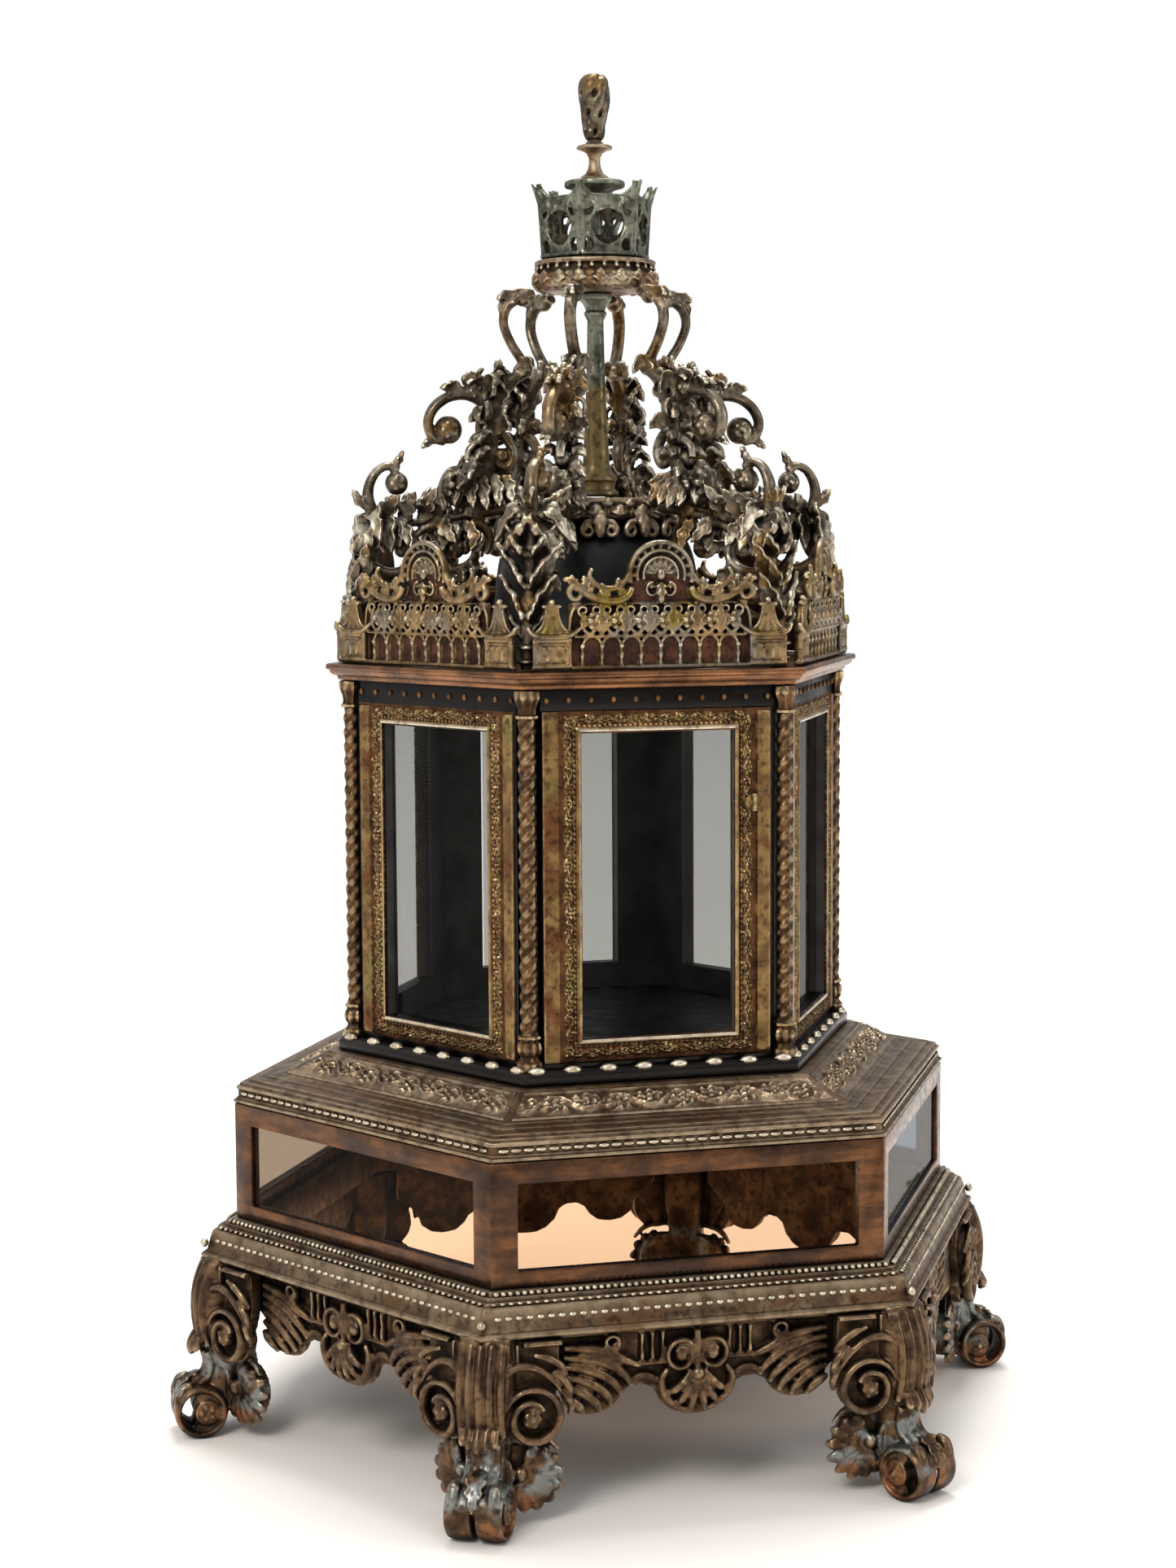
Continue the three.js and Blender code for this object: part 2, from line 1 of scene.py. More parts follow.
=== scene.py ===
"""The looks of the six-sided lantern case. Lengths are in millimetres, and a finished mesh is in metres."""
import math

import bmesh
import bpy
import numpy as np
from mathutils import Matrix, Vector


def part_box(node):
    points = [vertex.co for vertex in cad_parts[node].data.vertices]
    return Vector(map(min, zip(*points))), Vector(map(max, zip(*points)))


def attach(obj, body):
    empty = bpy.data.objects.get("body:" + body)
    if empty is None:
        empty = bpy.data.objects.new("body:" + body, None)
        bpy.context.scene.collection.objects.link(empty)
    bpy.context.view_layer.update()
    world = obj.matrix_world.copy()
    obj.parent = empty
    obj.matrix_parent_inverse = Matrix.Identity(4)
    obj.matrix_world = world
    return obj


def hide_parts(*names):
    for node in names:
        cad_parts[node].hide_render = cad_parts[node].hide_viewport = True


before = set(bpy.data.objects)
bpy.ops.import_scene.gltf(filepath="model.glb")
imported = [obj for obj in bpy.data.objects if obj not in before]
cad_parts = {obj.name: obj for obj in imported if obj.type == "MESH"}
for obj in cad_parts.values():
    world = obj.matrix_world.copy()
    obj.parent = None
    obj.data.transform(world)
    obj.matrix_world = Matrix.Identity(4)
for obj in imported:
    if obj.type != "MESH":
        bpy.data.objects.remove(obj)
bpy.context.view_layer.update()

MM = 0.001
SIDES = 6
TAU = 2 * math.pi
SECTOR = TAU / SIDES
CORNERS = {name: name - 2 for name in range(1, SIDES + 1)}  # turns, in sectors, of a piece drawn at +X
FACES = {name: name - 1 for name in range(1, SIDES + 1)}  # turns of a piece drawn on the front face

# Radii of six-sided parts are to their corners, as in the CAD model.
LEG = {"corner": 184.5, "rosette": (21, 47.6), "toe": (185.2, 11.8), "shell": 174}
APRON = {"radius": 175, "back": -6}
WINDOW = {"half": 33, "bottom": 187, "top": 315}
DOOR = {"half": 49.6, "bottom": 177.2, "top": 324.1}
LANTERN = {"radius": 113, "wall": 9.5}
COLUMN = {"radius": 112, "bottom": 174.6, "top": 333.4, "base": 15, "cap": 12}
CRESTING = {"radius": 118, "base": 341.3, "pitch": 8.4}
ARCH_HEIGHT = 38.9
RIB_DEPTH = 6.4
CAMERA = {  # metres and degrees
    "place": (-0.3153, -1.1870, 0.4031), "forward": (0.2520, 0.9629, -0.0965), "lens": 62.6, "roll": -0.337,
}
LIGHTS = (  # name, place, height it is aimed at, size, watts and colour, in metres
    ("key", (-1.5, -1.9, 2.1), 0.28, (1.0, 1.0), 43, (1, 0.97, 0.92)),
    ("fill", (2.0, -1.2, 1.0), 0.28, (0.7, 1.4), 14, (0.94, 0.97, 1)),
    ("top", (0.2, 0.6, 2.4), 0.3, (1.2, 0.9), 42, (1, 1, 1)),
)


# ---------------------------------------------------------------- shapes, in millimetres
class Shape:
    """Closed forms gathered into one list of points and faces."""

    def __init__(self):
        self.points = []
        self.faces = []
        self.count = 0

    def add(self, points, faces):
        points = np.asarray(points, float).reshape(-1, 3)
        self.points.append(points)
        self.faces += [[int(i) + self.count for i in face] for face in faces]
        self.count += len(points)

    def take(self, other, change):
        """Adds a copy of another shape with its points changed, such as mirrored or turned."""
        self.add(change(np.vstack(other.points)), other.faces)

    def pair(self, half, mirror):
        """Adds a half and its mirror image."""
        self.take(half, np.array)
        self.take(half, mirror)

    def mesh(self, name):
        made = bpy.data.meshes.new(name)
        made.from_pydata((np.vstack(self.points) * MM).tolist(), [], self.faces)
        work = bmesh.new()
        work.from_mesh(made)
        bmesh.ops.recalc_face_normals(work, faces=work.faces)
        work.to_mesh(made)
        work.free()
        return made


class Plane:
    """Flat axes for drawing: points are (right, up), and lift is towards the outside of the case."""

    def __init__(self, origin, right, up=(0, 0, 1)):
        self.origin = np.array(origin, float)
        self.right = unit(np.array(right, float))
        self.up = unit(np.array(up, float))
        self.out = np.cross(self.right, self.up)

    def at(self, points, lift=0.0):
        points = np.asarray(points, float)
        flat = points[..., :1] * self.right + points[..., 1:2] * self.up
        return self.origin + flat + np.asarray(lift, float)[..., None] * self.out

    def rod(self, shape, points, lift, width, depth, sides=8, power=2.0):
        """A rod along points on the plane, as sweep makes it, with its depth away from the plane."""
        sweep(shape, self.at(points, lift), width, depth, self.out, sides, power)


def unit(vectors):
    return vectors / np.linalg.norm(vectors, axis=-1, keepdims=True)


def apothem(radius):
    """The distance from the axis to a six-sided part's flat faces."""
    return radius * math.cos(math.pi / SIDES)


def face_plane(radius, base=0.0):
    """The front face of a six-sided part."""
    return Plane((0, -apothem(radius), base), (1, 0, 0))


RADIAL = Plane((0, 0, 0), (1, 0, 0))


def mirror_x(points):
    return points * (-1, 1, 1)


def mirror_y(points):
    return points * (1, -1, 1)


def turned(points, angle):
    """Points turned round the Z axis."""
    c, s = math.cos(angle), math.sin(angle)
    return points @ np.array([[c, s, 0], [-s, c, 0], [0, 0, 1]])


def spread(value, count):
    """A list of values along a path, or one value, as one for each of its points."""
    value = np.atleast_1d(np.asarray(value, float))
    return np.interp(np.linspace(0, 1, count), np.linspace(0, 1, len(value)), value)


def spline(points, steps=6):
    """A smooth curve through the points."""
    points = np.asarray(points, float)
    ends = [2 * points[0] - points[1]], [2 * points[-1] - points[-2]]
    padded = np.vstack([ends[0], points, ends[1]])
    u = (np.arange(steps) / steps)[:, None]
    spans = []
    for a, b, c, d in zip(padded, padded[1:], padded[2:], padded[3:]):
        bend = (2 * a - 5 * b + 4 * c - d) * u**2 + (3 * b - a - 3 * c + d) * u**3
        spans.append((2 * b + (c - a) * u + bend) / 2)
    return np.vstack(spans + [points[-1:]])


def spiral(centre, radii, degrees, steps=24):
    """An arc or a spiral from the first angle to the second."""
    angle = np.radians(np.linspace(*degrees, steps))
    radius = spread(radii, steps)
    return np.column_stack([centre[0] + radius * np.cos(angle), centre[1] + radius * np.sin(angle)])


def grid_faces(rows, columns, wrap=False):
    """Quads between neighbouring rows of points. With wrap, the last column joins the first."""
    i = np.arange(rows - 1)[:, None] * columns
    j = np.arange(columns if wrap else columns - 1)[None, :]
    k = (j + 1) % columns
    return np.stack([i + j, i + k, i + columns + k, i + columns + j], -1).reshape(-1, 4)


def tube_faces(rows, columns):
    """Quads of a tube with its two ends closed."""
    last = (rows - 1) * columns
    ends = [list(range(columns)), list(range(last, last + columns))]
    return grid_faces(rows, columns, wrap=True).tolist() + ends


def sweep(shape, path, width, depth, normal=(0, 1, 0), sides=10, power=2.0):
    """A rod along a path. Its section is width across the path and depth along the normal."""
    path = np.asarray(path, float)
    normal = np.asarray(normal, float)
    count = len(path)
    along = unit(np.gradient(path, axis=0))
    deep = unit(normal - along * (along @ normal)[:, None])
    across = np.cross(along, deep)
    angle = TAU * np.arange(sides) / sides
    c, s = (np.sign(v) * np.abs(v) ** (2 / power) / 2 for v in (np.cos(angle), np.sin(angle)))
    wide = (spread(width, count)[:, None] * c)[..., None] * across[:, None]
    thick = (spread(depth, count)[:, None] * s)[..., None] * deep[:, None]
    shape.add(path[:, None] + wide + thick, tube_faces(count, sides))


def ball(shape, centre, size, rows=7, columns=10):
    """An ellipsoid. Its size is its three half lengths."""
    tilt = np.linspace(-0.5, 0.5, rows + 2)[1:-1, None] * math.pi
    turn = TAU * np.arange(columns)[None, :] / columns
    level = np.cos(tilt)
    skin = np.stack([level * np.cos(turn), level * np.sin(turn), np.sin(tilt) + 0 * turn], -1)
    shape.add(np.asarray(centre, float) + skin * size, tube_faces(rows, columns))


def revolve(shape, profile, columns=SIDES, wave=None, ring=False):
    """A profile of (radius, height) turned round the Z axis: solid, or closed into a ring."""
    profile = np.asarray(profile, float)
    angle = TAU * np.arange(columns) / columns
    radius = np.maximum(profile[:, :1], 0.05) * np.ones(columns)
    if wave is not None:
        radius = radius + wave(angle[None, :], profile[:, 1:])
    height = profile[:, 1:] * np.ones(columns)
    points = np.stack([radius * np.cos(angle), radius * np.sin(angle), height], -1)
    faces = tube_faces(len(profile), columns)
    if ring:
        last = (len(profile) - 1) * columns
        joins = [[last + k, last + (k + 1) % columns, (k + 1) % columns, k] for k in range(columns)]
        faces = faces[:-2] + joins
    shape.add(points, faces)


def prism(shape, plane, outline, back, front):
    """A flat outline with a thickness from back to front."""
    outline = np.asarray(outline, float)
    points = np.stack([plane.at(outline, back), plane.at(outline, front)])
    shape.add(points, tube_faces(2, len(outline)))


def leaf(shape, spine, side, width, lobes=4, thick=1.5, cup=0.22, teeth=0.4, blunt=1.2):
    """An acanthus leaf along a spine: lobed edges, a raised midrib and a dip between the veins."""
    spine = spline(spine, 4)
    t = np.linspace(0, 1, 7 * lobes)
    step = np.linspace(0, 1, len(spine))
    line = np.column_stack([np.interp(t, step, spine[:, i]) for i in range(3)])
    along = unit(np.gradient(line, axis=0))
    side = np.asarray(side, float)
    across = unit(side - along * (along @ side)[:, None])
    up = np.cross(along, across)
    notch = 1 - teeth * (1 - np.abs(np.sin(math.pi * lobes * t)))
    half = width / 2 * np.sin(math.pi * np.clip(t, 0.02, 0.985) ** 0.75) ** (1 / blunt) * notch
    u = np.linspace(-1, 1, 9)
    vein = 0.10 * width * np.cos(TAU * (lobes * t[:, None] - 0.8 * np.abs(u)))
    rise = cup * width * (1 - u**2) - 0.06 * width * (np.abs(u) < 0.1) + vein * np.abs(u)
    flat = line[:, None] + (half[:, None] * u)[..., None] * across[:, None]
    crown = rise * np.sin(math.pi * t[:, None] ** 0.8) + thick / 2
    under = 0.5 * rise * np.sin(math.pi * t[:, None]) - thick / 2
    top = flat + crown[..., None] * up[:, None]
    low = flat + under[..., None] * up[:, None]
    section = np.concatenate([top, low[:, ::-1]], axis=1)
    shape.add(section, tube_faces(len(t), 18))


def slab(shape, base, out, height, back, keep=None):
    """A closed slab on a grid of base points, with its front at height and its back at back."""
    rows, columns = height.shape
    keep = np.ones((rows - 1, columns - 1), bool) if keep is None else keep
    front = base + height[..., None] * out
    rear = base + back * np.asarray(out, float)
    i, j = np.nonzero(keep)
    first = i * columns + j
    corners = np.stack([first, first + 1, first + columns + 1, first + columns], -1)
    total = rows * columns
    walls = [slab_walls(keep, columns, total, axis) for axis in (0, 1)]
    faces = np.vstack([corners, corners[:, ::-1] + total] + walls)
    used, faces = np.unique(faces, return_inverse=True)
    points = np.vstack([front.reshape(-1, 3), rear.reshape(-1, 3)])[used]
    shape.add(points, faces.reshape(-1, 4).tolist())


def slab_walls(keep, columns, total, axis):
    """The quads between front and back wherever kept cells meet open ones along an axis."""
    padded = np.pad(keep, 1)
    edge = padded[1:, 1:-1] != padded[:-1, 1:-1] if axis == 0 else padded[1:-1, 1:] != padded[1:-1, :-1]
    i, j = np.nonzero(edge)
    a = i * columns + j
    b = a + (1 if axis == 0 else columns)
    return np.stack([a, b, b + total, a + total], -1)


# ---------------------------------------------------------------- chased patterns
def bump(distance, width):
    """A smooth hump, 1 where the distance is 0."""
    return np.exp(-((distance / width) ** 2))


def foliage(s, u, pitch):
    """A running stem with a curled flower in each bend. The band runs along s, and u is -1 to 1 across it."""
    stem = bump(u - 0.5 * np.sin(TAU * s / pitch), 0.17)
    half = pitch / 2
    index = np.floor(s / half)
    side = np.where(index % 2 == 0, -0.22, 0.22)
    x = (s - (index + 0.5) * half) / (half * 0.62)
    y = (u - side) / 0.78
    radius = np.hypot(x, y)
    angle = np.arctan2(y, x)
    petals = bump(radius - 0.5, 0.26) * (0.55 + 0.45 * np.cos(6 * angle + 7 * radius))
    heart = bump(radius, 0.2)
    return np.maximum.reduce([0.85 * stem, petals, 0.95 * heart])


def beading(s, u, pitch):
    """A row of round beads along s."""
    x = (s / pitch - np.floor(s / pitch) - 0.5) * pitch
    return np.sqrt(np.clip(1 - (x / (0.46 * pitch)) ** 2 - u**2, 0, 1))


def bead_rings(name, finish, *rows):
    """Rows of beads on all six faces, as one piece."""
    shape = Shape()
    for row in rows:
        bead_row(shape, *row)
    keep(machined(all_faces(shape), 0.01, 80), name, "pale_brass", [finish])


def bead_row(shape, radius, z, pitch, size, margin=2.0):
    """Beads along the front face at a corner radius. Their half lengths are along, out and up."""
    half = radius / 2 - margin
    count = int(2 * half / pitch)
    for i in range(count + 1):
        x = (i - count / 2) * pitch
        ball(shape, (x, -apothem(radius), z), size, rows=5, columns=8)


# ---------------------------------------------------------------- objects
def linked(name, mesh):
    """A new object in the scene."""
    made = bpy.data.objects.new(name, mesh)
    bpy.context.scene.collection.objects.link(made)
    return made


def applied(made):
    """Turns the modifiers' result into the object's own mesh."""
    graph = bpy.context.evaluated_depsgraph_get()
    mesh = bpy.data.meshes.new_from_object(made.evaluated_get(graph))
    made.modifiers.clear()
    made.data = mesh
    return made


def thinned(made, share):
    """Keeps this share of the faces, most of them where the surface curves, and none twice."""
    thin = made.modifiers.new("thin", "DECIMATE")
    thin.ratio = share
    applied(made)
    made.data.validate()
    made.data.shade_smooth()
    return made


def cast(shape, voxel, share, rounds=2):
    """Melts the forms together as one casting, with soft inner corners."""
    made = linked("casting", shape.mesh("casting"))
    melt = made.modifiers.new("melt", "REMESH")
    melt.mode = "VOXEL"
    melt.voxel_size = voxel * MM
    soften = made.modifiers.new("soften", "SMOOTH")
    soften.factor = 0.5
    soften.iterations = rounds
    applied(made)
    return thinned(made, share)


def machined(shape, bevel=0.3, angle=30):
    """Keeps the forms' own surfaces, with fine bevels on the sharp edges."""
    return bevelled(linked("machined", shape.mesh("machined")), bevel, angle)


def bevelled(made, width, angle=30):
    """Rounds the edges that are sharper than the angle."""
    edge = made.modifiers.new("edge", "BEVEL")
    edge.width = width * MM
    edge.segments = 2
    edge.limit_method = "ANGLE"
    edge.angle_limit = math.radians(angle)
    edge.use_clamp_overlap = True
    applied(made)
    made.data.shade_smooth()
    made.data.set_sharp_from_angle(angle=math.radians(38))
    return made


def refined(node, bevel):
    """A copy of a CAD node's mesh with its flat faces whole again and its edges bevelled."""
    work = bmesh.new()
    work.from_mesh(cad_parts[node].data)
    bmesh.ops.remove_doubles(work, verts=work.verts, dist=0.002 * MM)
    bmesh.ops.dissolve_limit(
        work, angle_limit=math.radians(2), verts=work.verts, edges=work.edges, delimit=set()
    )
    mesh = bpy.data.meshes.new(node)
    work.to_mesh(mesh)
    work.free()
    mesh.materials.clear()
    return bevelled(linked(node, mesh), bevel)


def painted(made, choose):
    """Gives each face the material that choose picks from its middle, in mm, and its normal."""
    for face in made.data.polygons:
        face.material_index = int(choose(np.array(face.center) / MM, np.array(face.normal)))
    return made


def keep(made, name, slot, materials, nodes=(), body="case"):
    """Names a finished piece, gives it its materials and body, and hides the CAD nodes it stands for."""
    made.name = name
    for material in materials:
        made.data.materials.append(material)
    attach(made, body)
    if nodes:
        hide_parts(*nodes)
    return made


def around(source, name, turns, slot, materials, node=None):
    """A copy of a piece at each turn round the case. The piece it is copied from is deleted."""
    for number, turn in turns.items():
        mesh = source.data.copy()
        mesh.transform(Matrix.Rotation(turn * SECTOR, 4, "Z"))
        nodes = [f"{node}_{number}"] if node else []
        keep(linked(name, mesh), f"{name}_{number}", slot, materials, nodes)
    bpy.data.objects.remove(source)


def all_faces(shape):
    """The same forms on all six faces."""
    whole = Shape()
    for turn in range(SIDES):
        whole.take(shape, lambda points, turn=turn: turned(points, turn * SECTOR))
    return whole


# ---------------------------------------------------------------- materials
def rgb(colour):
    """A colour as seen on a screen, from 0 to 255, as the linear colour that the shader takes."""
    share = np.array(colour) / 255
    return tuple(np.where(share <= 0.04045, share / 12.92, ((share + 0.055) / 1.055) ** 2.4))


class Nodes:
    """Short calls for building one material's nodes."""

    def __init__(self, name):
        self.material = bpy.data.materials.new(name)
        self.material.use_nodes = True
        self.tree = self.material.node_tree
        self.shader = self.tree.nodes["Principled BSDF"]
        self.place = self.new("ShaderNodeTexCoord").outputs["Object"]

    def new(self, kind, **settings):
        """A node with its settings."""
        node = self.tree.nodes.new(kind)
        for key, value in settings.items():
            setattr(node, key, value)
        return node

    def link(self, source, target):
        self.tree.links.new(source, target)

    def noise(self, scale, detail=5.0, roughness=0.55, stretch=(1, 1, 1)):
        """Noise whose scale is in features per metre."""
        spot = self.new("ShaderNodeMapping")
        spot.inputs["Scale"].default_value = stretch
        self.link(self.place, spot.inputs["Vector"])
        node = self.new("ShaderNodeTexNoise")
        node.inputs["Scale"].default_value = scale
        node.inputs["Detail"].default_value = detail
        node.inputs["Roughness"].default_value = roughness
        self.link(spot.outputs["Vector"], node.inputs["Vector"])
        return node.outputs["Fac"]

    def span(self, source, low, high, start=0.0, end=1.0):
        """Source from low to high, as start to end."""
        node = self.new("ShaderNodeMapRange", interpolation_type="SMOOTHSTEP")
        for key, value in (("From Min", low), ("From Max", high), ("To Min", start), ("To Max", end)):
            node.inputs[key].default_value = value
        self.link(source, node.inputs["Value"])
        return node.outputs["Result"]

    def height(self):
        """Height above the table, in metres."""
        split = self.new("ShaderNodeSeparateXYZ")
        self.link(self.place, split.inputs["Vector"])
        return split.outputs["Z"]

    def math(self, operation, first, second):
        """The result of an operation on two shares, kept between 0 and 1."""
        node = self.new("ShaderNodeMath", operation=operation, use_clamp=True)
        for socket, value in zip(node.inputs, (first, second)):
            if isinstance(value, (int, float)):
                socket.default_value = value
            else:
                self.link(value, socket)
        return node.outputs[0]

    def times(self, first, second):
        return self.math("MULTIPLY", first, second)

    def blend(self, share, first, second):
        """The first colour where the share is 0, and the second where it is 1."""
        node = self.new("ShaderNodeMix", data_type="RGBA")
        self.link(share, node.inputs[0])
        for socket, value in ((node.inputs[6], first), (node.inputs[7], second)):
            if isinstance(value, tuple):
                socket.default_value = (*value, 1)
            else:
                self.link(value, socket)
        return node.outputs[2]

    def hollow(self, distance, low, high):
        """1 in crevices narrower than the distance in mm, and 0 in the open."""
        node = self.new("ShaderNodeAmbientOcclusion", samples=6)
        node.inputs["Distance"].default_value = distance * MM
        return self.span(node.outputs["AO"], high, low)

    def bump(self, height, strength, distance):
        """Roughens the surface by a height. Its distance is in mm."""
        node = self.new("ShaderNodeBump")
        node.inputs["Strength"].default_value = strength
        node.inputs["Distance"].default_value = distance * MM
        self.link(height, node.inputs["Height"])
        self.link(node.outputs["Normal"], self.shader.inputs["Normal"])


def old_metal(name, light, middle, grime_and_shade, worn_and_highlight, rough=(0.28, 0.5), crevice=7, tints=()):
    """Antique metal: cloudy colour, dark grime and painted shade in the hollows, and bright wear and painted
    highlights on the edges.

    A tint is a colour that shows in patches: (colour, patches per metre, share of the surface, low, high).
    It fades out below the low height and above the high one, in mm.
    """
    n = Nodes(name)
    light, middle, grime_and_shade, worn_and_highlight = map(rgb, (light, middle, grime_and_shade, worn_and_highlight))
    colour = n.blend(n.span(n.noise(90), 0.38, 0.62), middle, light)
    for tint, scale, share, low, high in tints:
        patch = n.span(n.noise(scale, 4), 0.62 - share, 0.7 - share)
        height = n.height()
        above, below = (n.span(height, (z - way) * MM, (z + way) * MM) for z, way in ((low, 3), (high, -3)))
        inside = n.times(above, below)
        colour = n.blend(n.times(patch, inside), colour, rgb(tint))
    mottle = n.span(n.noise(340, 4), 0.5, 0.66)
    colour = n.blend(n.times(mottle, 0.6), colour, grime_and_shade)
    # Painted highlight and real wear: convex edges, found by pointiness, take the pale edge colour in
    # patches.
    edge = n.span(n.new("ShaderNodeNewGeometry").outputs["Pointiness"], 0.515, 0.57)
    patchy = n.times(edge, n.span(n.noise(160), 0.34, 0.6, 0.2, 0.9))
    colour = n.blend(patchy, colour, worn_and_highlight)
    # Painted shade and real grime: hollows, creases and gaps between parts, found by ambient occlusion, take
    # the dark colour.
    hollow = n.hollow(crevice, 0.35, 0.95)
    colour = n.blend(n.times(hollow, 0.96), colour, grime_and_shade)
    n.link(colour, n.shader.inputs["Base Color"])
    dull = n.math("ADD", n.span(n.noise(230), 0.35, 0.65, *rough), n.times(hollow, 0.3))
    n.link(n.math("SUBTRACT", dull, n.times(patchy, 0.12)), n.shader.inputs["Roughness"])
    n.shader.inputs["Metallic"].default_value = 0.9
    n.bump(n.math("ADD", n.noise(1100, 3), n.times(n.noise(260, 4), 0.8)), 0.35, 0.25)
    return n.material


def lacquered(name, light, middle, dark):
    """Brown lacquer rubbed over brass: glossy, with streaks along the rails, dark blotches, and painted shade
    in the hollows.
    """
    n = Nodes(name)
    light, middle, dark = map(rgb, (light, middle, dark))
    streak = n.span(n.noise(120, 6, 0.6, stretch=(0.35, 0.35, 1.6)), 0.36, 0.64)
    blotch = n.span(n.noise(46, 4), 0.42, 0.66)
    colour = n.blend(streak, middle, light)
    colour = n.blend(n.times(blotch, 0.75), colour, dark)
    # Painted shade: hollows and gaps between parts, found by ambient occlusion, take the dark colour.
    hollow = n.hollow(7, 0.3, 0.95)
    colour = n.blend(n.times(hollow, 0.85), colour, dark)
    n.link(colour, n.shader.inputs["Base Color"])
    n.link(n.span(n.noise(300), 0.3, 0.7, 0.22, 0.42), n.shader.inputs["Roughness"])
    n.shader.inputs["Metallic"].default_value = 0.8
    n.shader.inputs["Coat Weight"].default_value = 0.2
    n.shader.inputs["Coat Roughness"].default_value = 0.2
    n.bump(n.noise(420, 4), 0.2, 0.2)
    return n.material


def black_paint(name, low, high, rough):
    """Near-black paint, a little cloudy."""
    n = Nodes(name)
    colour = n.blend(n.span(n.noise(60, 6), 0.35, 0.7), rgb(low), rgb(high))
    n.link(colour, n.shader.inputs["Base Color"])
    n.link(n.span(n.noise(120), 0.3, 0.7, *rough), n.shader.inputs["Roughness"])
    n.shader.inputs["Specular IOR Level"].default_value = 0.3
    n.bump(n.noise(160, 3), 0.12, 0.2)
    return n.material


def pane_glass(name, colour):
    """Clear old glass: see-through, and mirroring more at a glancing angle on the side that is met first."""
    n = Nodes(name)
    n.tree.nodes.remove(n.shader)
    clear = n.new("ShaderNodeBsdfTransparent")
    clear.inputs["Color"].default_value = colour
    gloss = n.new("ShaderNodeBsdfGlossy")
    gloss.inputs["Roughness"].default_value = 0.04
    rim = n.new("ShaderNodeFresnel")
    rim.inputs["IOR"].default_value = 1.33
    behind = n.new("ShaderNodeNewGeometry").outputs["Backfacing"]
    glance = n.math("MAXIMUM", n.math("SUBTRACT", rim.outputs["Fac"], 0.018), 0.0)
    share = n.times(glance, n.times(n.math("SUBTRACT", 1.0, behind), 0.5))
    mix = n.new("ShaderNodeMixShader")
    n.link(share, mix.inputs["Fac"])
    n.link(clear.outputs["BSDF"], mix.inputs[1])
    n.link(gloss.outputs["BSDF"], mix.inputs[2])
    n.link(mix.outputs["Shader"], n.tree.nodes["Material Output"].inputs["Surface"])
    return n.material


BLACK = (20, 15, 11)
GILT = old_metal(
    "gilt_brass", (140, 112, 70), (100, 76, 46), (34, 22, 13), (190, 166, 124),
    tints=(((104, 68, 42), 50, 0.1, 0, 600), ((118, 106, 60), 30, 0.06, 0, 600)),
)
GROUND = old_metal("chased_ground", (102, 68, 42), (68, 44, 27), (22, 14, 9), (130, 96, 60), rough=(0.4, 0.6))
# Painted highlight: this near-white brass on the window sills and the lantern floor's beads stands for the
# light they catch.
SILL_HIGHLIGHT = old_metal("sill_highlight_brass", (212, 194, 164), (180, 160, 130), (70, 54, 38), (240, 228, 206))
CREST = old_metal(
    "crest_brass", (152, 126, 88), (106, 86, 60), (24, 17, 12), (218, 202, 172), crevice=6,
    tints=(((126, 114, 98), 34, 0.12, 0, 600), ((128, 108, 52), 40, 0.08, 355, 600)),
)
# Painted shade: the dark red-brown on the plates behind the cresting's arcade, flowers and arch.
CREST_SHADE = old_metal("crest_shade", (96, 62, 48), (60, 42, 34), (22, 14, 11), (120, 92, 70))
PALE = old_metal(
    "pale_brass", (172, 154, 128), (124, 106, 82), (34, 25, 18), (220, 208, 184), rough=(0.34, 0.55),
    tints=(((124, 94, 66), 40, 0.1, 0, 600),),
)
# Painted light: both slope colours are paler than the base brass because the slope faces the lamps, and the
# raised chasing is paler still as a painted highlight.
SLOPE_GROUND = old_metal(
    "slope_ground", (150, 130, 106), (108, 88, 70), (38, 28, 20), (196, 176, 148), crevice=3
)
BASE_METAL = old_metal(
    "base_brass", (122, 102, 80), (84, 67, 51), (24, 16, 11), (178, 160, 132), rough=(0.34, 0.55),
    tints=(((100, 74, 52), 40, 0.12, 0, 600),),
)
SLOPE_HIGHLIGHT = old_metal(
    "slope_highlight_brass", (232, 216, 190), (196, 176, 148), (66, 52, 38), (252, 246, 230), crevice=3
)
BROWN = lacquered("brown_brass", (112, 72, 40), (72, 44, 24), (28, 16, 10))
ROOF_BROWN = lacquered("roof_brown", (150, 102, 64), (98, 64, 38), (38, 23, 14))
FRIEZE = lacquered("dark_lacquer", (28, 19, 14), (17, 12, 9), (8, 6, 5))
BRONZE = old_metal(
    "dark_bronze", (122, 109, 92), (74, 63, 52), BLACK, (214, 202, 178),
    tints=(((116, 92, 58), 30, 0.1, 0, 600), ((176, 166, 148), 44, 0.08, 0, 440)),
)
CARVED = old_metal(
    "carved_brown", (112, 88, 64), (68, 51, 38), (26, 18, 13), (184, 160, 128),
    # The coppery patches below 14 mm are painted glints on the toes.
    tints=(((126, 128, 124), 70, 0.16, 14, 37), ((132, 88, 60), 90, 0.14, -5, 14)),
)
COLUMN_METAL = old_metal("column_bronze", (104, 76, 49), (60, 42, 27), BLACK, (192, 166, 128), crevice=5)
VERDIGRIS = old_metal(
    "grey_bronze", (130, 131, 116), (80, 80, 68), (20, 20, 16), (178, 180, 162), rough=(0.34, 0.6),
    tints=(((116, 100, 66), 30, 0.3, 400, 462),),
)
SHADOW_BRONZE = old_metal("shadow_bronze", (62, 54, 44), (38, 33, 27), BLACK, (130, 122, 104))
